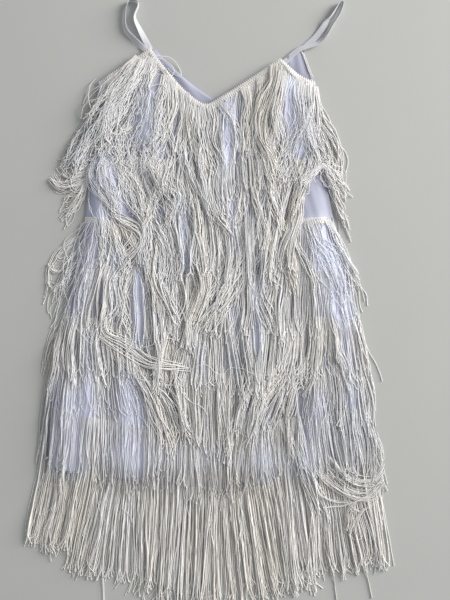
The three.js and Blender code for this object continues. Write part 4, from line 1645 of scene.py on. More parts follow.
class Pile:
    """The height of what has been laid so far, over a grid of one-millimetre cells.

    LOW is the grid's corner in X and Y, SHAPE its rows and columns, and FEEL how far to its sides a cord
    feels what it lies on.
    """

    LOW = (-340, -500)
    SHAPE = (960, 680)
    FEEL = (-0.6, 0.0, 0.6)

    def __init__(self) -> None:
        self.top = np.zeros(self.SHAPE)

    def cells(self, x: Array, y: Array) -> tuple[Array, Array]:
        """The cells of points.

        Args:
            x: across.
            y: along.

        Returns:
            Row and column numbers.
        """
        row = np.clip((y - self.LOW[1]).astype(int), 2, self.SHAPE[0] - 3)
        column = np.clip((x - self.LOW[0]).astype(int), 2, self.SHAPE[1] - 3)
        return row, column

    def height(self, x: Array, y: Array) -> Array:
        """The pile's height at points.

        Args:
            x: across.
            y: along.

        Returns:
            Heights over the floor.
        """
        return self.top[self.cells(x, y)]

    def raise_to(self, x: Array, y: Array, z: Array, radius: float) -> None:
        """Lifts the cells round points, as a round cord does.

        Args:
            x: across.
            y: along.
            z: height that each point's cell is lifted to.
            radius: half the cord's thickness.
        """
        row, column = self.cells(x, y)
        for dy in (-1, 0, 1):
            for dx in (-1, 0, 1):
                drop = radius * 0.5 * (dx * dx + dy * dy)
                np.maximum.at(self.top, (row + dy, column + dx), z - drop)

    def lay(self, path: Array, cord: CordSizes, start: float, lift: Array | float = 0.0) -> Array:
        """Lays a cord on the pile.

        Args:
            path: the cord's points in X and Y.
            cord: its sizes.
            start: height of its middle at the root.
            lift: how far it stands up from what is under it.

        Returns:
            The points in X, Y and Z, along the cord's middle.
        """
        x, y = path[:, 0], path[:, 1]
        run = run_of(path)
        side = beside(path)
        under_it = [self.height(x + side[:, 0] * w, y + side[:, 1] * w) for w in self.FEEL]
        window = np.array([1, 2, 3, 2, 1]) / 9
        floor = smoothed(np.mean(under_it, axis=0), window) + lift
        sewn = smooth_step(run / cord.sewn)
        floor = (start - cord.radius) * (1 - sewn) + floor * sewn
        rest = np.maximum(
            np.maximum.accumulate(floor + cord.bend * run) - cord.bend * run,
            np.maximum.accumulate((floor - cord.bend * run)[::-1])[::-1] + cord.bend * run,
        )
        under = smoothed(rest, window)
        growth = 2 * cord.radius * cord.settle * sewn * np.clip(1 - under / cord.highest, 0, 1)
        dense = along(np.column_stack([x, y, under + growth]), np.linspace(0, 1, len(path) * 4))
        self.raise_to(dense[:, 0], dense[:, 1], dense[:, 2], cord.radius)
        return np.column_stack([x, y, under + cord.radius])


# ---------------------------------------------------------------- panels


class Panel:
    """One of the dress's two cloth panels, as a thin shell.

    Args:
        name: the CAD node it stands for.
        sizes: the cloth's layers.
        edge: its upper edge.
        under: height of its underside where it lies flat.
        shape: the height that its folds add.
        rests_on: what it lies on.
    """

    def __init__(
        self,
        name: str,
        sizes: ClothSizes,
        edge: Sequence[Stretch],
        under: float,
        shape: Height,
        rests_on: str,
    ) -> None:
        self.name, self.sizes, self.under, self.shape, self.rests_on = name, sizes, under, shape, rests_on
        self.edge = edge_line(edge)

    def grid(self, rows: int, columns: int) -> Array:
        """The panel's points in X and Y.

        Args:
            rows: points down the panel.
            columns: points across it.

        Returns:
            The points, [row, column, XY], from the neck down and from the left.
        """
        share = np.linspace(0, 1, columns)
        keys = [along(self.edge, share), *[tier_line(t, columns) for t in TIERS], tier_line(HEM, columns)]
        middles = np.array([k[:, 1].mean() for k in keys])
        at = (middles[0] - middles) / (middles[0] - middles[-1])
        rows_at = np.linspace(0, 1, rows)
        stack = np.stack(keys)
        found = np.empty((rows, columns, 2))
        for c in range(columns):
            for k in range(2):
                found[:, c, k] = np.interp(rows_at, at, stack[:, c, k])
        return found

    def top_at(self, x: Array, y: Array) -> Array:
        """The height of the panel's upper side.

        Args:
            x: across.
            y: along.

        Returns:
            Heights over the floor.
        """
        return self.under + self.sizes.wall + self.shape(x, y)

    def build(self, material: Material) -> Object:
        """Builds the shell.

        Args:
            material: the knit.

        Returns:
            The panel.
        """
        share = self.sizes.back_share if self.rests_on == "floor" else 1.0
        flat = self.grid(round(self.sizes.rows * share), round(self.sizes.columns * share))
        x, y = flat[..., 0], flat[..., 1]
        high = self.top_at(x, y)
        top = np.dstack([x, y, high])
        under = np.dstack([x, y, high - self.sizes.wall])
        made = new_object(self.name + "_cloth", grid_mesh(self.name + "_cloth", top, under, material))
        # Painted light: where the cloth stands high in a veil, its colour is painted lighter.
        bloom = np.clip(relief(VEILS, x, y), 0, 1) * smooth_step(inside_seams(x, y) / 30)
        bloom = bloom * (self.rests_on != "floor")
        layer = made.data.attributes.new("bloom", "FLOAT", "POINT")
        layer.data.foreach_set("value", np.tile(bloom.ravel(), 2).astype(np.float32))
        LOG.info("%s: %d faces", made.name, len(made.data.polygons))
        return made

    def lay_on(self, pile: Pile) -> None:
        """Adds the panel to the pile.

        Args:
            pile: the pile to add it to.
        """
        fine = self.grid(*FINE_GRID)
        x, y = fine[..., 0].ravel(), fine[..., 1].ravel()
        np.maximum.at(pile.top, pile.cells(x, y), self.top_at(x, y))

    def flat_size(self) -> tuple[float, float, float]:
        """The cut of the panel.

        Returns:
            Its width, its length and its area, in metres and square metres.
        """
        flat = self.grid(*CUT_GRID)
        width = np.ptp(flat[..., 0]) * MM
        length = np.ptp(flat[..., 1]) * MM
        a, b, c = flat[:-1, :-1], flat[1:, :-1], flat[:-1, 1:]
        cells = np.abs((b - a)[..., 0] * (c - a)[..., 1] - (b - a)[..., 1] * (c - a)[..., 0])
        return float(width), float(length), float(cells.sum()) * MM * MM


def inside_seams(x: Array, y: Array) -> Array:
    """How far points lie inside the side seams.

    Args:
        x: across.
        y: along.

    Returns:
        Distances in mm.
    """
    seam = columns_at(SEAMS, "y", y)
    return np.minimum(x - seam["left"], seam["right"] - x)


def front_shape(x: Array, y: Array) -> Array:
    """The front panel's folds and creases.

    Args:
        x: across.
        y: along.

    Returns:
        The height that they add.
    """
    sizes = ClothSizes()
    inside = inside_seams(x, y)
    large = relief(FRONT_FOLDS, x, y) * smooth_step(inside / 26)
    large = large + sizes.veiled * np.clip(relief(VEILS, x, y), 0, 1) * smooth_step(inside / 20)
    fine = relief(FRONT_CREASES, x, y) * smooth_step(inside / 6)
    above = y - np.interp(x, *tier_line(HEM, 40).T)
    air = sizes.air * smooth_step(inside / 16) * smooth_step(above / 30)
    grain = sizes.grain * np.sin(x * 0.21 + 1.3 * np.sin(y * 0.05))
    grain = grain * np.sin(y * 0.06 + 0.8 * np.sin(x * 0.04))
    return np.maximum(air + large + fine + grain * smooth_step(inside / 10), -0.1)


def front_top(x: Array, y: Array) -> Array:
    """The height of the front panel's upper side.

    Args:
        x: across.
        y: along.

    Returns:
        Heights over the floor.
    """
    sizes = ClothSizes()
    return sizes.front_under + sizes.wall + front_shape(x, y)


def back_shape(x: Array, y: Array) -> Array:
    """The back panel's creases, which show above the front's neckline.

    Args:
        x: across.
        y: along.

    Returns:
        The height that they add.
    """
    edge = edge_line(FRONT_EDGE)
    low = np.interp(x, edge[:, 0], edge[:, 1])
    return np.maximum(relief(BACK_CREASES, x, y) * smooth_step((y - low - 2) / 10), 0)


# ---------------------------------------------------------------- fringe


class FringeMaker:
    """Lays cords on the pile and sweeps them.

    Args:
        pile: what has been laid so far.
        cord: the cords' sizes.
        sweep: the tree that makes them solid.
        material: the cords' finish.
        seed: fixes the random numbers.
    """

    def __init__(
        self,
        pile: Pile,
        cord: CordSizes,
        sweep: CordSweep,
        material: Material,
        seed: int,
    ) -> None:
        self.pile, self.cord, self.sweep, self.material = pile, cord, sweep, material
        self.loose, self.shades = Looseness(), Shades()
        rows, columns = np.mgrid[0 : pile.SHAPE[0], 0 : pile.SHAPE[1]]
        self.veils = np.clip(relief(VEILS, columns + pile.LOW[0], rows + pile.LOW[1]), 0, 1)
        self.rng = np.random.default_rng(seed)
        self.waiting: dict[str, CordRuns] = {}
        self.tapes: dict[str, Array] = {}

    def row_paths(self, roots: Array, shares: Array, comb: Sequence[Lie], lock_width: float) -> list[Array]:
        """The ways that a row's cords run, seen from above.

        Args:
            roots: where the cords leave the tape, in X and Y.
            shares: their shares of the tape.
            comb: how the row lies.
            lock_width: how wide a lock of cords is at the tape.

        Returns:
            A path for each cord.
        """
        rng, count, loose = self.rng, len(roots), self.loose
        width = steps_of(roots).sum()
        lie = columns_at(comb, "across", shares)
        points = int(lie["length"].max() / self.cord.step) + 1
        t = np.linspace(0, 1, points)
        lean = self.lean(lie, t)
        wander = Ripple(rng, loose.longest)
        ends = smooth_step(np.minimum(shares, 1 - shares) / loose.calm)[:, None]
        turned = loose.wander * ends * wander.at(shares[:, None] * width + 30 * t[None, :])
        lean += turned + rng.normal(0, loose.lean, (count, 1))
        lean += rng.normal(0, loose.tip, (count, 1)) * smooth_step((t[None, :] - 0.86) / 0.12)
        length = lie["length"] * rng.normal(1, 0.02 if lie["gather"].max() < 0.55 else 0.06, count)
        step = (length / (points - 1))[:, None]
        angle = np.radians(lean)
        x = roots[:, :1] + walked(np.sin(angle) * step)
        y = roots[:, 1:] + walked(-np.cos(angle) * step)
        # Locks are of uneven width, and each is drawn together for itself.
        edges = np.cumsum(rng.uniform(0.55, 1.5, int(width / lock_width * 1.6) + 4)) * lock_width / width
        lock = np.searchsorted(edges, shares)
        for number in np.unique(lock):
            self.draw_lock(x, y, np.flatnonzero(lock == number), roots, lie, lean, length)
        draw_apart(x, y, PARTINGS)
        for i in range(count):
            size, wave = self.crimp_of(float(lie["crimp"][i]) ** 1.3 * loose.crimp)
            off = size * smooth_step(t * 3) * self.swing(t, length[i], wave)
            bent = rng.normal(0, loose.bow) * smooth_step(t * 1.5)
            off = off + bent * np.sin(math.pi * t * rng.uniform(0.5, 1.3) + rng.uniform(0, 3))
            off = off + (rng.normal(0, loose.stray) * t**1.6 if rng.random() < loose.strays else 0.0)
            side = np.radians(lean[i])
            x[i] += off * np.cos(side)
            y[i] += off * np.sin(side)
        return [np.column_stack([x[i], y[i]]) for i in range(count)]

    def draw_lock(
        self,
        x: Array,
        y: Array,
        mine: Array,
        roots: Array,
        lie: dict[str, Array],
        lean: Array,
        length: Array,
    ) -> None:
        """Draws some cords of a row together into a lock, and waves it.

        Args:
            x: the row's points across, [cord, point]; they are moved in place.
            y: the same, along.
            mine: numbers of the lock's cords.
            roots: where the row's cords leave the tape.
            lie: how each cord of the row lies.
            lean: the cords' lean in degrees, [cord, point].
            length: their lengths.
        """
        rng, loose = self.rng, self.loose
        t = np.linspace(0, 1, x.shape[1])
        gather = float(lie["gather"][mine].mean()) * rng.uniform(0.2, 0.7)
        most = rng.uniform(0.5, 0.8)
        apart = 1 - 0.25 * smooth_step((t - most) / (1 - most))
        pull = smooth_step(t / most) * apart * np.clip(gather, 0, 0.9)
        x[mine] += (x[mine].mean(0) - x[mine]) * pull
        y[mine] += (y[mine].mean(0) - y[mine]) * pull * 0.35
        longer = 1 + rng.normal(-0.04, 0.16) * np.clip(gather, 0, 0.9)
        x[mine] = roots[mine, :1] + (x[mine] - roots[mine, :1]) * longer
        y[mine] = roots[mine, 1:] + (y[mine] - roots[mine, 1:]) * longer
        sway = float(lie["sway"][mine].mean()) * rng.normal(0, loose.sway)
        wave = rng.uniform(*loose.waves)
        swing = sway * smooth_step(t * 2.2) * self.swing(t, length[mine].mean(), wave)
        side = np.radians(lean[mine].mean(0))
        x[mine] += swing * np.cos(side)
        y[mine] += swing * np.sin(side)
        y[mine] -= rng.normal(0, loose.drop) * t

    def swing(self, t: Array, length: float, wave: float) -> Array:
        """A wave that starts anywhere in its turn.

        Args:
            t: shares of the way.
            length: how long the way is.
            wave: its length from crest to crest.

        Returns:
            -1 to 1 at each share.
        """
        return np.sin(2 * math.pi * t * length / wave + self.rng.uniform(0, 6.3))

    def crimp_of(self, most: float) -> tuple[float, float]:
        """A cord's small waves.

        Args:
            most: their greatest size.

        Returns:
            Their size, and their length from crest to crest.
        """
        size = most * float(self.rng.uniform(0.4, 1.0))
        return size, float(self.rng.uniform(13, 19) if most > 1 else self.rng.uniform(24, 44))

    @staticmethod
    def lean(lie: dict[str, Array], t: Array) -> Array:
        """The cords' lean along their length.

        Args:
            lie: the lean at the root, in the middle and at the tip, for each cord.
            t: shares of the length.

        Returns:
            Degrees from straight down, [cord, point].
        """
        early = smooth_step(t * 2)[None, :]
        late = smooth_step(t * 2 - 1)[None, :]
        root, middle, tip = (lie[k][:, None] for k in ("root", "middle", "tip"))
        return root + (middle - root) * early + (tip - middle) * late

    def lay_paths(
        self,
        paths: list[Array],
        start: Array,
        runs: CordRuns,
        lift: float = 0.0,
        shaded: Array | None = None,
        tint: tuple[float, float] = PLAIN_TINT,
    ) -> None:
        """Lays cords in a random order and adds them to the runs.

        Args:
            paths: the cords, seen from above.
            start: height of each cord's middle at its root.
            runs: where to add them.
            lift: how far they stand up from what is under them.
            shaded: painted shade: how much darker each cord is painted at its root.
            tint: the row's usual warmth and tone.
        """
        place = np.linspace(0, 1, len(paths))
        warmth = Ripple(self.rng, 0.5, 5).at(place) * self.shades.warmth + tint[0]
        tone = Ripple(self.rng, 0.16, 5).at(place) * self.shades.tone + tint[1]
        for i in self.rng.permutation(len(paths)):
            veil = float(self.veils[self.pile.cells(paths[i][:, 0], paths[i][:, 1])].mean())
            if self.rng.random() < 0.5 * veil:
                continue
            loft = lift + abs(self.rng.normal(0, self.loose.loft))
            laid = self.pile.lay(paths[i], self.cord, float(start[i]), loft)
            grey = 0.0 if shaded is None else float(shaded[i])
            self.add_cord(laid, runs, float(tone[i]), float(warmth[i]), shaded=grey)

    def add_cord(
        self, laid: Array, runs: CordRuns, tone: float, warmth: float, thin: float = 1.0, shaded: float = 0.0
    ) -> None:
        """Adds a laid cord, a little off its neighbours' tone, warmth and thickness.

        Args:
            laid: the cord's points.
            runs: where to add it.
            tone: 0 for grey to 1 for white.
            warmth: 0 for blue-white to 1 for cream.
            thin: share of the usual thickness.
            shaded: painted shade: how much darker it is painted at its root.
        """
        needed = np.union1d(needed_points(laid, self.cord.slack), [len(laid) - 2])
        kept = laid[needed]
        veil = self.veils[self.pile.cells(kept[:, 0], kept[:, 1])]
        thickness = thin * self.rng.uniform(0.85, 1.12) * (1 - self.cord.veil * veil)
        thickness[-1] *= self.cord.frayed
        kept[:, 2] = np.maximum(kept[:, 2], self.cord.radius * thickness + 0.05)
        shades = self.shades
        tone = tone + self.rng.normal(0, shades.cord_tone)
        # Painted light: in a veil the cord is painted towards white.
        tone = np.clip(tone + (1.0 - tone) * shades.veiled * veil, 0, 1)
        # Painted shade: near a root under the row above, the cord is painted darker.
        if shaded > 0:
            run = run_of(kept)
            tone = tone * (1 - shaded * (1 - smooth_step(run / shades.shadow)))
        low = smooth_step((shades.low - kept[:, 1]) / 50) * smooth_step((kept[:, 1] + 250) / 60)
        low = low * smooth_step((np.abs(kept[:, 0] - shades.middle) - shades.half) / 70)
        warmth = warmth + self.rng.normal(0, shades.cord_warmth)
        # Painted light: in a veil the cord is painted cool, for the lilac cloth that shows through it; the
        # lower rows' sides also lose some warmth.
        warmth = np.clip(warmth * (1 - veil) * (1 - shades.cooled * low), 0, 1)
        runs.add(kept, thickness, tone, warmth)

    def lay_frizz(self, name: str, runs: CordRuns) -> None:
        """Lays the loose cords that curl over a row.

        Args:
            name: the row's node.
            runs: where to add them.
        """
        rng = self.rng
        for patch in FRIZZES.get(name, ()):
            for _ in range(patch.cords):
                reach = rng.uniform(0, 1) ** 0.5
                turn = rng.uniform(0, 2 * math.pi)
                x = patch.x + patch.wide * reach * math.cos(turn)
                root = np.array([x, patch.y + patch.high * reach * math.sin(turn)])
                length = patch.length * rng.uniform(0.6, 1.1)
                count = int(length / 2.4) + 3
                t = np.linspace(0, 1, count)
                lean = patch.lean + rng.normal(0, 8) + patch.curl * Ripple(rng, 0.9, 3).at(t)
                angle = np.radians(lean)
                steps = np.stack([np.sin(angle), -np.cos(angle)]) * length / (count - 1)
                path = root + walked(steps).T
                start = float(self.pile.height(path[:1, 0], path[:1, 1])[0]) + self.cord.radius * 0.4
                laid = self.pile.lay(path, self.cord, start, 0.0)
                self.add_cord(laid, runs, 0.95, rng.uniform(0.1, 0.5), 0.72)

    @staticmethod
    def shown(name: str, x: Array) -> Array:
        """Where a row's tape isn't covered by the row above.

        Args:
            name: the row's node.
            x: places across the dress.

        Returns:
            1 where it shows to 0 where it is covered.
        """
        if name not in COMBS or "tier" not in name:
            return np.ones(len(x))
        shows = np.zeros(len(x))
        for start, end, share in TAPE_SHOWS.get(name, ()):
            inside = share * smooth_step((x - start) / 6 + 0.5) * smooth_step((end - x) / 6 + 0.5)
            shows = np.maximum(shows, inside)
        return shows

    def tape_runs(self, name: str, tape: TapeSizes, upper: Array, height: Height, runs: CordRuns) -> None:
        """A crocheted tape: cords along it, and a thread that runs to and fro over them.

        Args:
            name: the row's node.
            tape: its sizes.
            upper: the tape's upper edge in X and Y.
            height: the height of the cloth under it.
            runs: where to add its cords.
        """
        length = steps_of(upper).sum()

        def placed(line: Array, up: float, thickness: float, tone: float) -> None:
            z = height(line[:, 0], line[:, 1]) + up
            shows = self.shown(name, line[:, 0])
            z = z - tape.sink * (1 - shows) * self.veils[self.pile.cells(line[:, 0], line[:, 1])]
            fine = thickness * (0.7 + 0.3 * shows)
            runs.add(np.column_stack([line, z]), fine, tape.dark + (tone - tape.dark) * shows, 0.7 * shows)
            self.pile.raise_to(line[:, 0], line[:, 1], z + tape.thread, tape.cord)

        even = along(upper, np.linspace(0, 1, int(length / 2.5)))
        for down in np.arange(0.7, tape.width, tape.cord * 1.6):
            placed(offset(even, down), 0.2 + tape.cord, tape.cord / self.cord.radius, tape.tone)
        turns = length / tape.pitch
        t = np.linspace(0, 1, int(turns * 6))
        over = -tape.picot if tape.picot else 0.5
        down = (over + tape.width - 0.5) / 2 + (tape.width - 0.5 - over) / 2 * np.sin(t * turns * 2 * math.pi)
        fine = offset(along(upper, t), down, 12)
        placed(fine, 0.2 + tape.cord * 1.9, tape.thread / self.cord.radius, min(1.0, tape.tone + 0.15))

    def front_row(self, name: str, tape: TapeSizes, upper: Array, height: Height) -> Object:
        """A row that is sewn on the front panel.

        Args:
            name: the CAD node it stands for.
            tape: the sizes of its tape.
            upper: the tape's upper edge.
            height: the height of the cloth under it.

        Returns:
            The row's cords and tape, as one mesh.
        """
        runs = CordRuns()
        self.tape_runs(name, tape, upper, height, runs)
        count = CORD_COUNTS[name]
        shares = np.clip((np.arange(count) + self.rng.uniform(0.2, 0.8, count)) / count, 0.002, 0.998)
        fine = along(upper, np.linspace(0, 1, 1200))
        self.tapes[name] = fine
        roots = along(offset(fine, tape.width * tape.root, 30), shares)
        paths = self.row_paths(roots, shares, COMBS[name], 15)
        start = height(roots[:, 0], roots[:, 1]) + self.cord.radius + 0.3
        # Painted shade: cords whose roots lie under the row above are painted darker there.
        shaded = self.shades.covered * (1 - self.shown(name, roots[:, 0]))
        self.lay_paths(paths, start, runs, shaded=shaded, tint=ROW_TINTS.get(name, PLAIN_TINT))
        self.lay_locks(name, runs)
        self.lay_frizz(name, runs)
        return self.finished(name, runs)

    def root_height(self, name: str, root: Array) -> float:
        """The height of a lock's middle where it starts.

        Args:
            name: the row's node.
            root: where it starts, in X and Y.

        Returns:
            A height just over the row's tape, or over what lies there where the lock starts on other cords.
        """
        x, y = np.array([root[0]]), np.array([root[1]])
        pile = float(self.pile.height(x, y)[0])
        line = self.tapes.get(name)
        if line is None or np.linalg.norm(line - root, axis=1).min() > 12:
            return pile + self.cord.radius
        return min(pile, float(front_top(x, y)[0]) + 2.0) + self.cord.radius

    def lay_locks(self, name: str, runs: CordRuns) -> None:
        """Lays the locks of a row that are listed.

        Args:
            name: the row's node.
            runs: where to add their cords.
        """
        rng = self.rng
        late = name in LATE_LOCKS
        # How loose its cords lie, how much of the way the shortest comes, and how thin they are.
        loose, shortest, fine = (0.35, 0.85, 0.68) if late else (0.5, 0.66, 1.0)
        for lock in LOCKS.get(name, ()):
            middle = spline(np.array(lock.points, float).reshape(-1, 2), 90)
            length = steps_of(middle).sum()
            count = max(8, int(length / self.cord.step * 1.2))
            side = beside(middle)
            t = np.linspace(0, 1, len(middle))
            spread = np.interp(t, np.linspace(0, 1, len(lock.spread)), lock.spread)
            phase = rng.uniform(0, 6.3)
            warmth = 0.4 + 0.6 * lock.warmth + rng.normal(0, 0.06)
            tone = lock.tone + rng.normal(0, 0.14)
            _, wave = self.crimp_of(lock.crimp)
            single = lock.cords < FEW_CORDS
            cords = lock.cords if single else round(lock.cords * LOCK_FULLNESS)
            for place in rng.permutation((np.arange(cords) + rng.uniform(0, 1, cords)) / cords):
                size, own = self.crimp_of(lock.crimp)
                own = 0.7 * wave + 0.3 * own
                across = (place * 2 - 1) + loose * Ripple(rng, 1.3, 4).at(t) * smooth_step(t * 3)
                crimp = size * smooth_step(t * 4) * np.sin(t * length / own * 6.283 + phase + place)
                shift = spread * across + crimp
                end = 1.0 if single else rng.uniform(shortest, 1.0)
                path = along(middle + side * shift[:, None], np.linspace(0, end, count))
                start = self.root_height(name, path[0])
                laid = self.pile.lay(path, self.cord, start, abs(rng.normal(0, 0.2)))
                # Painted shade: a tier lock whose root lies under the row above is painted darker there.
                grey = 0.35 if "tier" in name and self.shown(name, path[:1, 0])[0] < 0.5 else 0.0
                thin = fine if late else 0.8 if lock.cords < 5 else 1.0
                self.add_cord(laid, runs, tone, warmth, thin, grey)

    def hem_row(self, line: Array) -> Object:
        """The back's lowest row, past the hem.

        Args:
            line: the hem, in X and Y.

        Returns:
            The row's cords.
        """
        name = "fringe_hem_back"
        runs = CordRuns()
        count = CORD_COUNTS[name]
        shares = np.clip((np.arange(count) + self.rng.uniform(0.2, 0.8, count)) / count, 0.002, 0.998)
        roots = along(line, shares) - [0, 0.6]
        paths = self.row_paths(roots, shares, COMBS[name], 13)
        self.lay_paths(paths, np.full(count, self.cord.radius + 0.9), runs, tint=ROW_TINTS[name])
        self.lay_locks(name, runs)
        return self.finished(name, runs)

    def late_row(self, name: str) -> Object:
        """The rest of a row whose locks fell over the rows laid after it.

        Args:
            name: the row's node.

        Returns:
            Its cords.
        """
        runs = self.waiting.pop(name)
        self.lay_locks(name, runs)
        return self.finished(name, runs)

    def seam_row(self, spec: SeamFringe) -> Object | None:
        """The end of a back row that comes out past a side seam.

        Args:
            spec: where it is and how it lies.

        Returns:
            Its cords, or nothing while its locks wait for the rows under them.
        """
        rng = self.rng
        runs = CordRuns()
        shares = (np.arange(spec.cords) + rng.uniform(0.2, 0.8, spec.cords)) / spec.cords
        y = spec.top + (spec.bottom - spec.top) * shares
        seam = columns_at(SEAMS, "y", y)["left" if spec.side is Side.LEFT else "right"]
        roots = np.column_stack([seam + spec.side.value * 1.2, y])
        points = int(spec.length / self.cord.step) + 4
        t = np.linspace(0, 1, points)
        paths = []
        for root in roots:
            lie = {k: np.array([getattr(spec, k) + rng.normal(0, 9)]) for k in ("root", "middle", "tip")}
            lean = self.lean(lie, t)[0]
            lean = lean + spec.curl * 7 * Ripple(rng, 0.9, 3).at(t) * smooth_step(t * 1.5)
            step = spec.length * rng.uniform(0.72, 1.04) / (points - 1)
            angle = np.radians(lean)
            steps = np.stack([np.sin(angle), -np.cos(angle)]) * step
            paths.append(root + walked(steps).T)
        self.lay_paths(paths, np.full(len(paths), self.cord.radius + 0.1), runs, 0.2)
        if spec.name not in LATE_LOCKS:
            self.lay_locks(spec.name, runs)
            return self.finished(spec.name, runs)
        self.waiting[spec.name] = runs
        return None

    def finished(self, name: str, runs: CordRuns) -> Object:
        """Sweeps a row's cords.

        Args:
            name: the CAD node the row stands for.
            runs: its cords.

        Returns:
            The row, as one mesh.
        """
        made = self.sweep.sweep(name + "_cords", runs, self.cord.radius, self.cord.sides, self.material)
        top = max(float(p[:, 2].max()) for p in runs.paths)
        cords, faces = len(runs.paths), len(made.data.polygons)
        LOG.info("%s: %d cords, %d faces, top at %.1f mm", made.name, cords, faces, top)
        return made


# ---------------------------------------------------------------- straps


class Strap:
    """A shoulder strap: a flat elastic band that runs from the front to the back in a loop.

    Args:
        name: the CAD node it stands for.
        front: where it is sewn to the front panel.
        stops: the points that it passes.
        back: where it is sewn to the back panel.
        sizes: the band's sizes.
    """

    def __init__(
        self, name: str, front: StrapStop, stops: Sequence[StrapStop], back: StrapStop, sizes: StrapSizes
    ) -> None:
        self.name, self.sizes = name, sizes
        self.route = np.array([front, *stops, back], float)

    def build(self, material: Material) -> Object:
        """Builds the band.

        Args:
            material: the elastic.

        Returns:
            The strap.
        """
        sizes = self.sizes
        route = spline(self.route, sizes.stations)
        middle, turn = route[:, :3], np.radians(route[:, 3])
        flow = unit(np.gradient(middle, axis=0))
        side = unit(np.stack([flow[:, 1], -flow[:, 0], np.zeros(len(flow))], axis=1))
        wide = side * np.cos(turn)[:, None] + np.array([0, 0, 1]) * np.sin(turn)[:, None]
        up = unit(np.cross(wide, flow))
        w = np.linspace(-1, 1, sizes.corners * 2 + 1)
        crown = sizes.thick / 2 * (1 - 0.55 * np.abs(w) ** 6)
        offset_w = w * sizes.width / 2
        top = middle[:, None] + wide[:, None] * offset_w[:, None] + up[:, None] * crown[:, None]
        under = middle[:, None] + wide[:, None] * offset_w[:, None] - up[:, None] * crown[:, None]
        mesh = grid_mesh(self.name + "_band", top, under, material)
        layer = mesh.attributes.new("across", "FLOAT", "POINT")
        layer.data.foreach_set("value", np.tile(w * 0.5 + 0.5, 2 * sizes.stations).astype(np.float32))
        made = new_object(self.name + "_band", mesh)
        LOG.info("%s: %d faces", made.name, len(mesh.polygons))
        return made


def strap_end(edge: Sequence[Stretch], number: int, off: float, z: float) -> StrapStop:
    """A point straight out of a strap's seat.

    Args:
        edge: the panel's edge.
        number: which stretch the seat is.
        off: how far from the cloth.
        z: height of the strap's middle.

    Returns:
        The point, with the strap lying flat.
    """
    a, b = np.array(edge[number - 1][:2]), np.array(edge[number][:2])
    away = np.array([a[1] - b[1], b[0] - a[0]]) / np.linalg.norm(b - a)
    x, y = (a + b) / 2 + away * off
    return StrapStop(float(x), float(y), z, 0)


# ---------------------------------------------------------------- studio


@dataclass(frozen=True)
class Studio:
    """The floor, the light and the camera.

    Args:
        view_height: height of floor that the picture shows.
        centre: the middle of the picture on the floor.
        lens: the camera's lens.
        ambient: strength of the light from all round.
        sky: its colour.
        key: power of the soft light from the right.
        sun: its colour.
        window: the width and length of that light, in metres.
        stand: where it stands, in metres.
        far: half the floor's width, in metres.
        chip: width of the camera's chip, in mm.
    """

    view_height: float = 810
    centre: tuple[float, float] = (24.3, 0)
    lens: float = 50
    ambient: float = 0.44
    sky: Colour = (0.95, 0.98, 1.0)
    key: float = 165.0
    sun: Colour = (1.0, 0.985, 0.96)
    window: tuple[float, float] = (1.5, 2.1)
    stand: tuple[float, float, float] = (2.8, 1.3, 1.3)
    far: float = 3.0
    chip: float = 36

    def build(self) -> None:
        """Sets up the floor, the light and the camera."""
        mesh = bpy.data.meshes.new("floor")
        far = self.far
        corners = [(-far, -far, 0), (far, -far, 0), (far, far, 0), (-far, far, 0)]
        mesh.from_pydata(corners, [], [(0, 1, 2, 3)])
        mesh.materials.append(finish("floor_paint", FloorFinish().dress))
        new_object("floor", mesh)
        world = bpy.data.worlds.new("studio")
        world.use_nodes = True
        sky = world.node_tree.nodes["Background"]
        sky.inputs["Color"].default_value = (*self.sky, 1)
        sky.inputs["Strength"].default_value = self.ambient
        bpy.context.scene.world = world
        light = bpy.data.lights.new("window", "AREA")
        light.shape = "RECTANGLE"
        light.size, light.size_y = self.window
        light.energy = self.key
        light.color = self.sun
        lamp = bpy.data.objects.new("window", light)
        lamp.location = self.stand
        aim = -lamp.location
        lamp.rotation_mode = "QUATERNION"
        lamp.rotation_quaternion = aim.to_track_quat("-Z", "Y")
        bpy.context.scene.collection.objects.link(lamp)
        data = bpy.data.cameras.new("camera")
        data.lens, data.sensor_width = self.lens, self.chip
        eye = bpy.data.objects.new("camera", data)
        up = self.view_height * MM * self.lens / self.chip
        eye.location = (self.centre[0] * MM, self.centre[1] * MM, up)
        bpy.context.scene.collection.objects.link(eye)
        bpy.context.scene.camera = eye
        bpy.context.scene.view_settings.view_transform = "Standard"
        LOG.info("studio: camera %.2f m over the floor", eye.location.z)


# ---------------------------------------------------------------- the dress


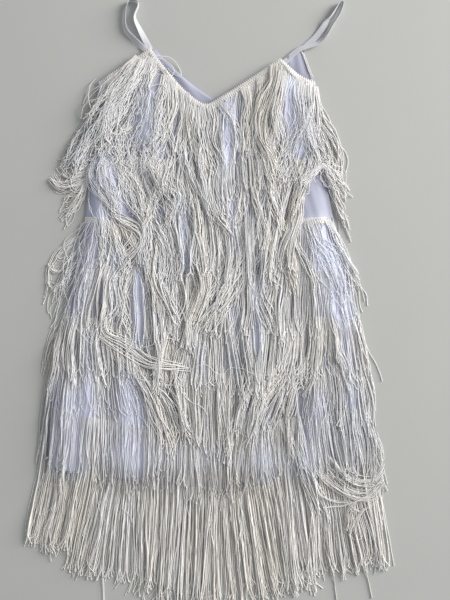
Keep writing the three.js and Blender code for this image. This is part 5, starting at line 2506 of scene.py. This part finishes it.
class FlapperDress:
    """The whole dress: two panels, two straps and the rows of fringe."""

    def __init__(self) -> None:
        self.cloth = ClothSizes()
        self.front = Panel(
            "front_panel", self.cloth, FRONT_EDGE, self.cloth.front_under, front_shape, "back_panel_cloth"
        )
        self.back = Panel("back_panel", self.cloth, BACK_EDGE, self.cloth.back_under, back_shape, "floor")
        self.pieces: dict[str, Object] = {}

    def keep(self, node: str, piece: Object, slot: Slot) -> None:
        """Puts a piece in the place of its CAD node.

        Args:
            node: the node's name.
            piece: the piece that stands for it.
            slot: the record's material slot; not used.
        """
        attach(piece, "root")
        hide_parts(node)
        self.pieces[node] = piece

    def build(self) -> None:
        """Builds every piece, from the floor up."""
        cord_finish = finish("fringe_cord", CordFinish().dress)
        knit = finish("panel_cloth", KnitFinish().dress)
        elastic = finish("strap_elastic", ElasticFinish().dress)
        pile = Pile()
        maker = FringeMaker(pile, CordSizes(), CordSweep(), cord_finish, seed=7)
        self.keep("fringe_hem_back", maker.hem_row(tier_line(HEM, 80)), Slot.CORD)
        for spec in SEAM_FRINGES:
            row = maker.seam_row(spec)
            if row is not None:
                self.keep(spec.name, row, Slot.CORD)
        for panel in (self.back, self.front):
            self.keep(panel.name, panel.build(knit), Slot.PANEL)
            panel.lay_on(pile)
        self.build_straps(elastic)
        for tier in reversed(TIERS):
            row = maker.front_row(tier.name, TapeSizes(), tier_line(tier, 120), self.front.top_at)
            self.keep(tier.name, row, Slot.CORD)
            if tier is TIERS[-1]:
                for name in LATE_LOCKS:
                    self.keep(name, maker.late_row(name), Slot.CORD)
        binding = TapeSizes(width=6.2, cord=0.95, thread=0.75, pitch=3.0, picot=1.3, tone=0.65, root=0.95)
        neck = maker.front_row("fringe_neckline", binding, self.front.edge, self.front.top_at)
        self.keep("fringe_neckline", neck, Slot.CORD)
        self.declare()

    def build_straps(self, elastic: Material) -> None:
        """Builds both straps.

        Args:
            elastic: their finish.
        """
        sizes = StrapSizes()
        left = Strap(
            "strap_left",
            strap_end(FRONT_EDGE, 1, 0.6, 2.7),
            STRAP_LEFT,
            strap_end(BACK_EDGE, 1, 0.6, 0.9),
            sizes,
        )
        right = Strap(
            "strap_right",
            strap_end(FRONT_EDGE, 7, 0.6, 2.7),
            STRAP_RIGHT,
            strap_end(BACK_EDGE, 4, 0.6, 0.9),
            sizes,
        )
        for strap in (left, right):
            self.keep(strap.name, strap.build(elastic), Slot.STRAP)

    def declare(self) -> None:
        rows = [piece for node, piece in self.pieces.items() if node.startswith("fringe")]
        straps = [self.pieces["strap_left"], self.pieces["strap_right"]]
        on_front = [r for r in rows if "tier" in r.name or "neckline" in r.name]
        on_back = [r for r in rows if r not in on_front]
        for panel, extra in ((self.front, on_front + straps), (self.back, on_back)):
            width, length, area = panel.flat_size()
            LOG.info("%s: cut %.3f by %.3f m, %.4f square metres", panel.name, width, length, area)


def main() -> None:
    """Builds the studio and the dress."""
    Studio().build()
    FlapperDress().build()


if __name__ == "__main__":
    main()
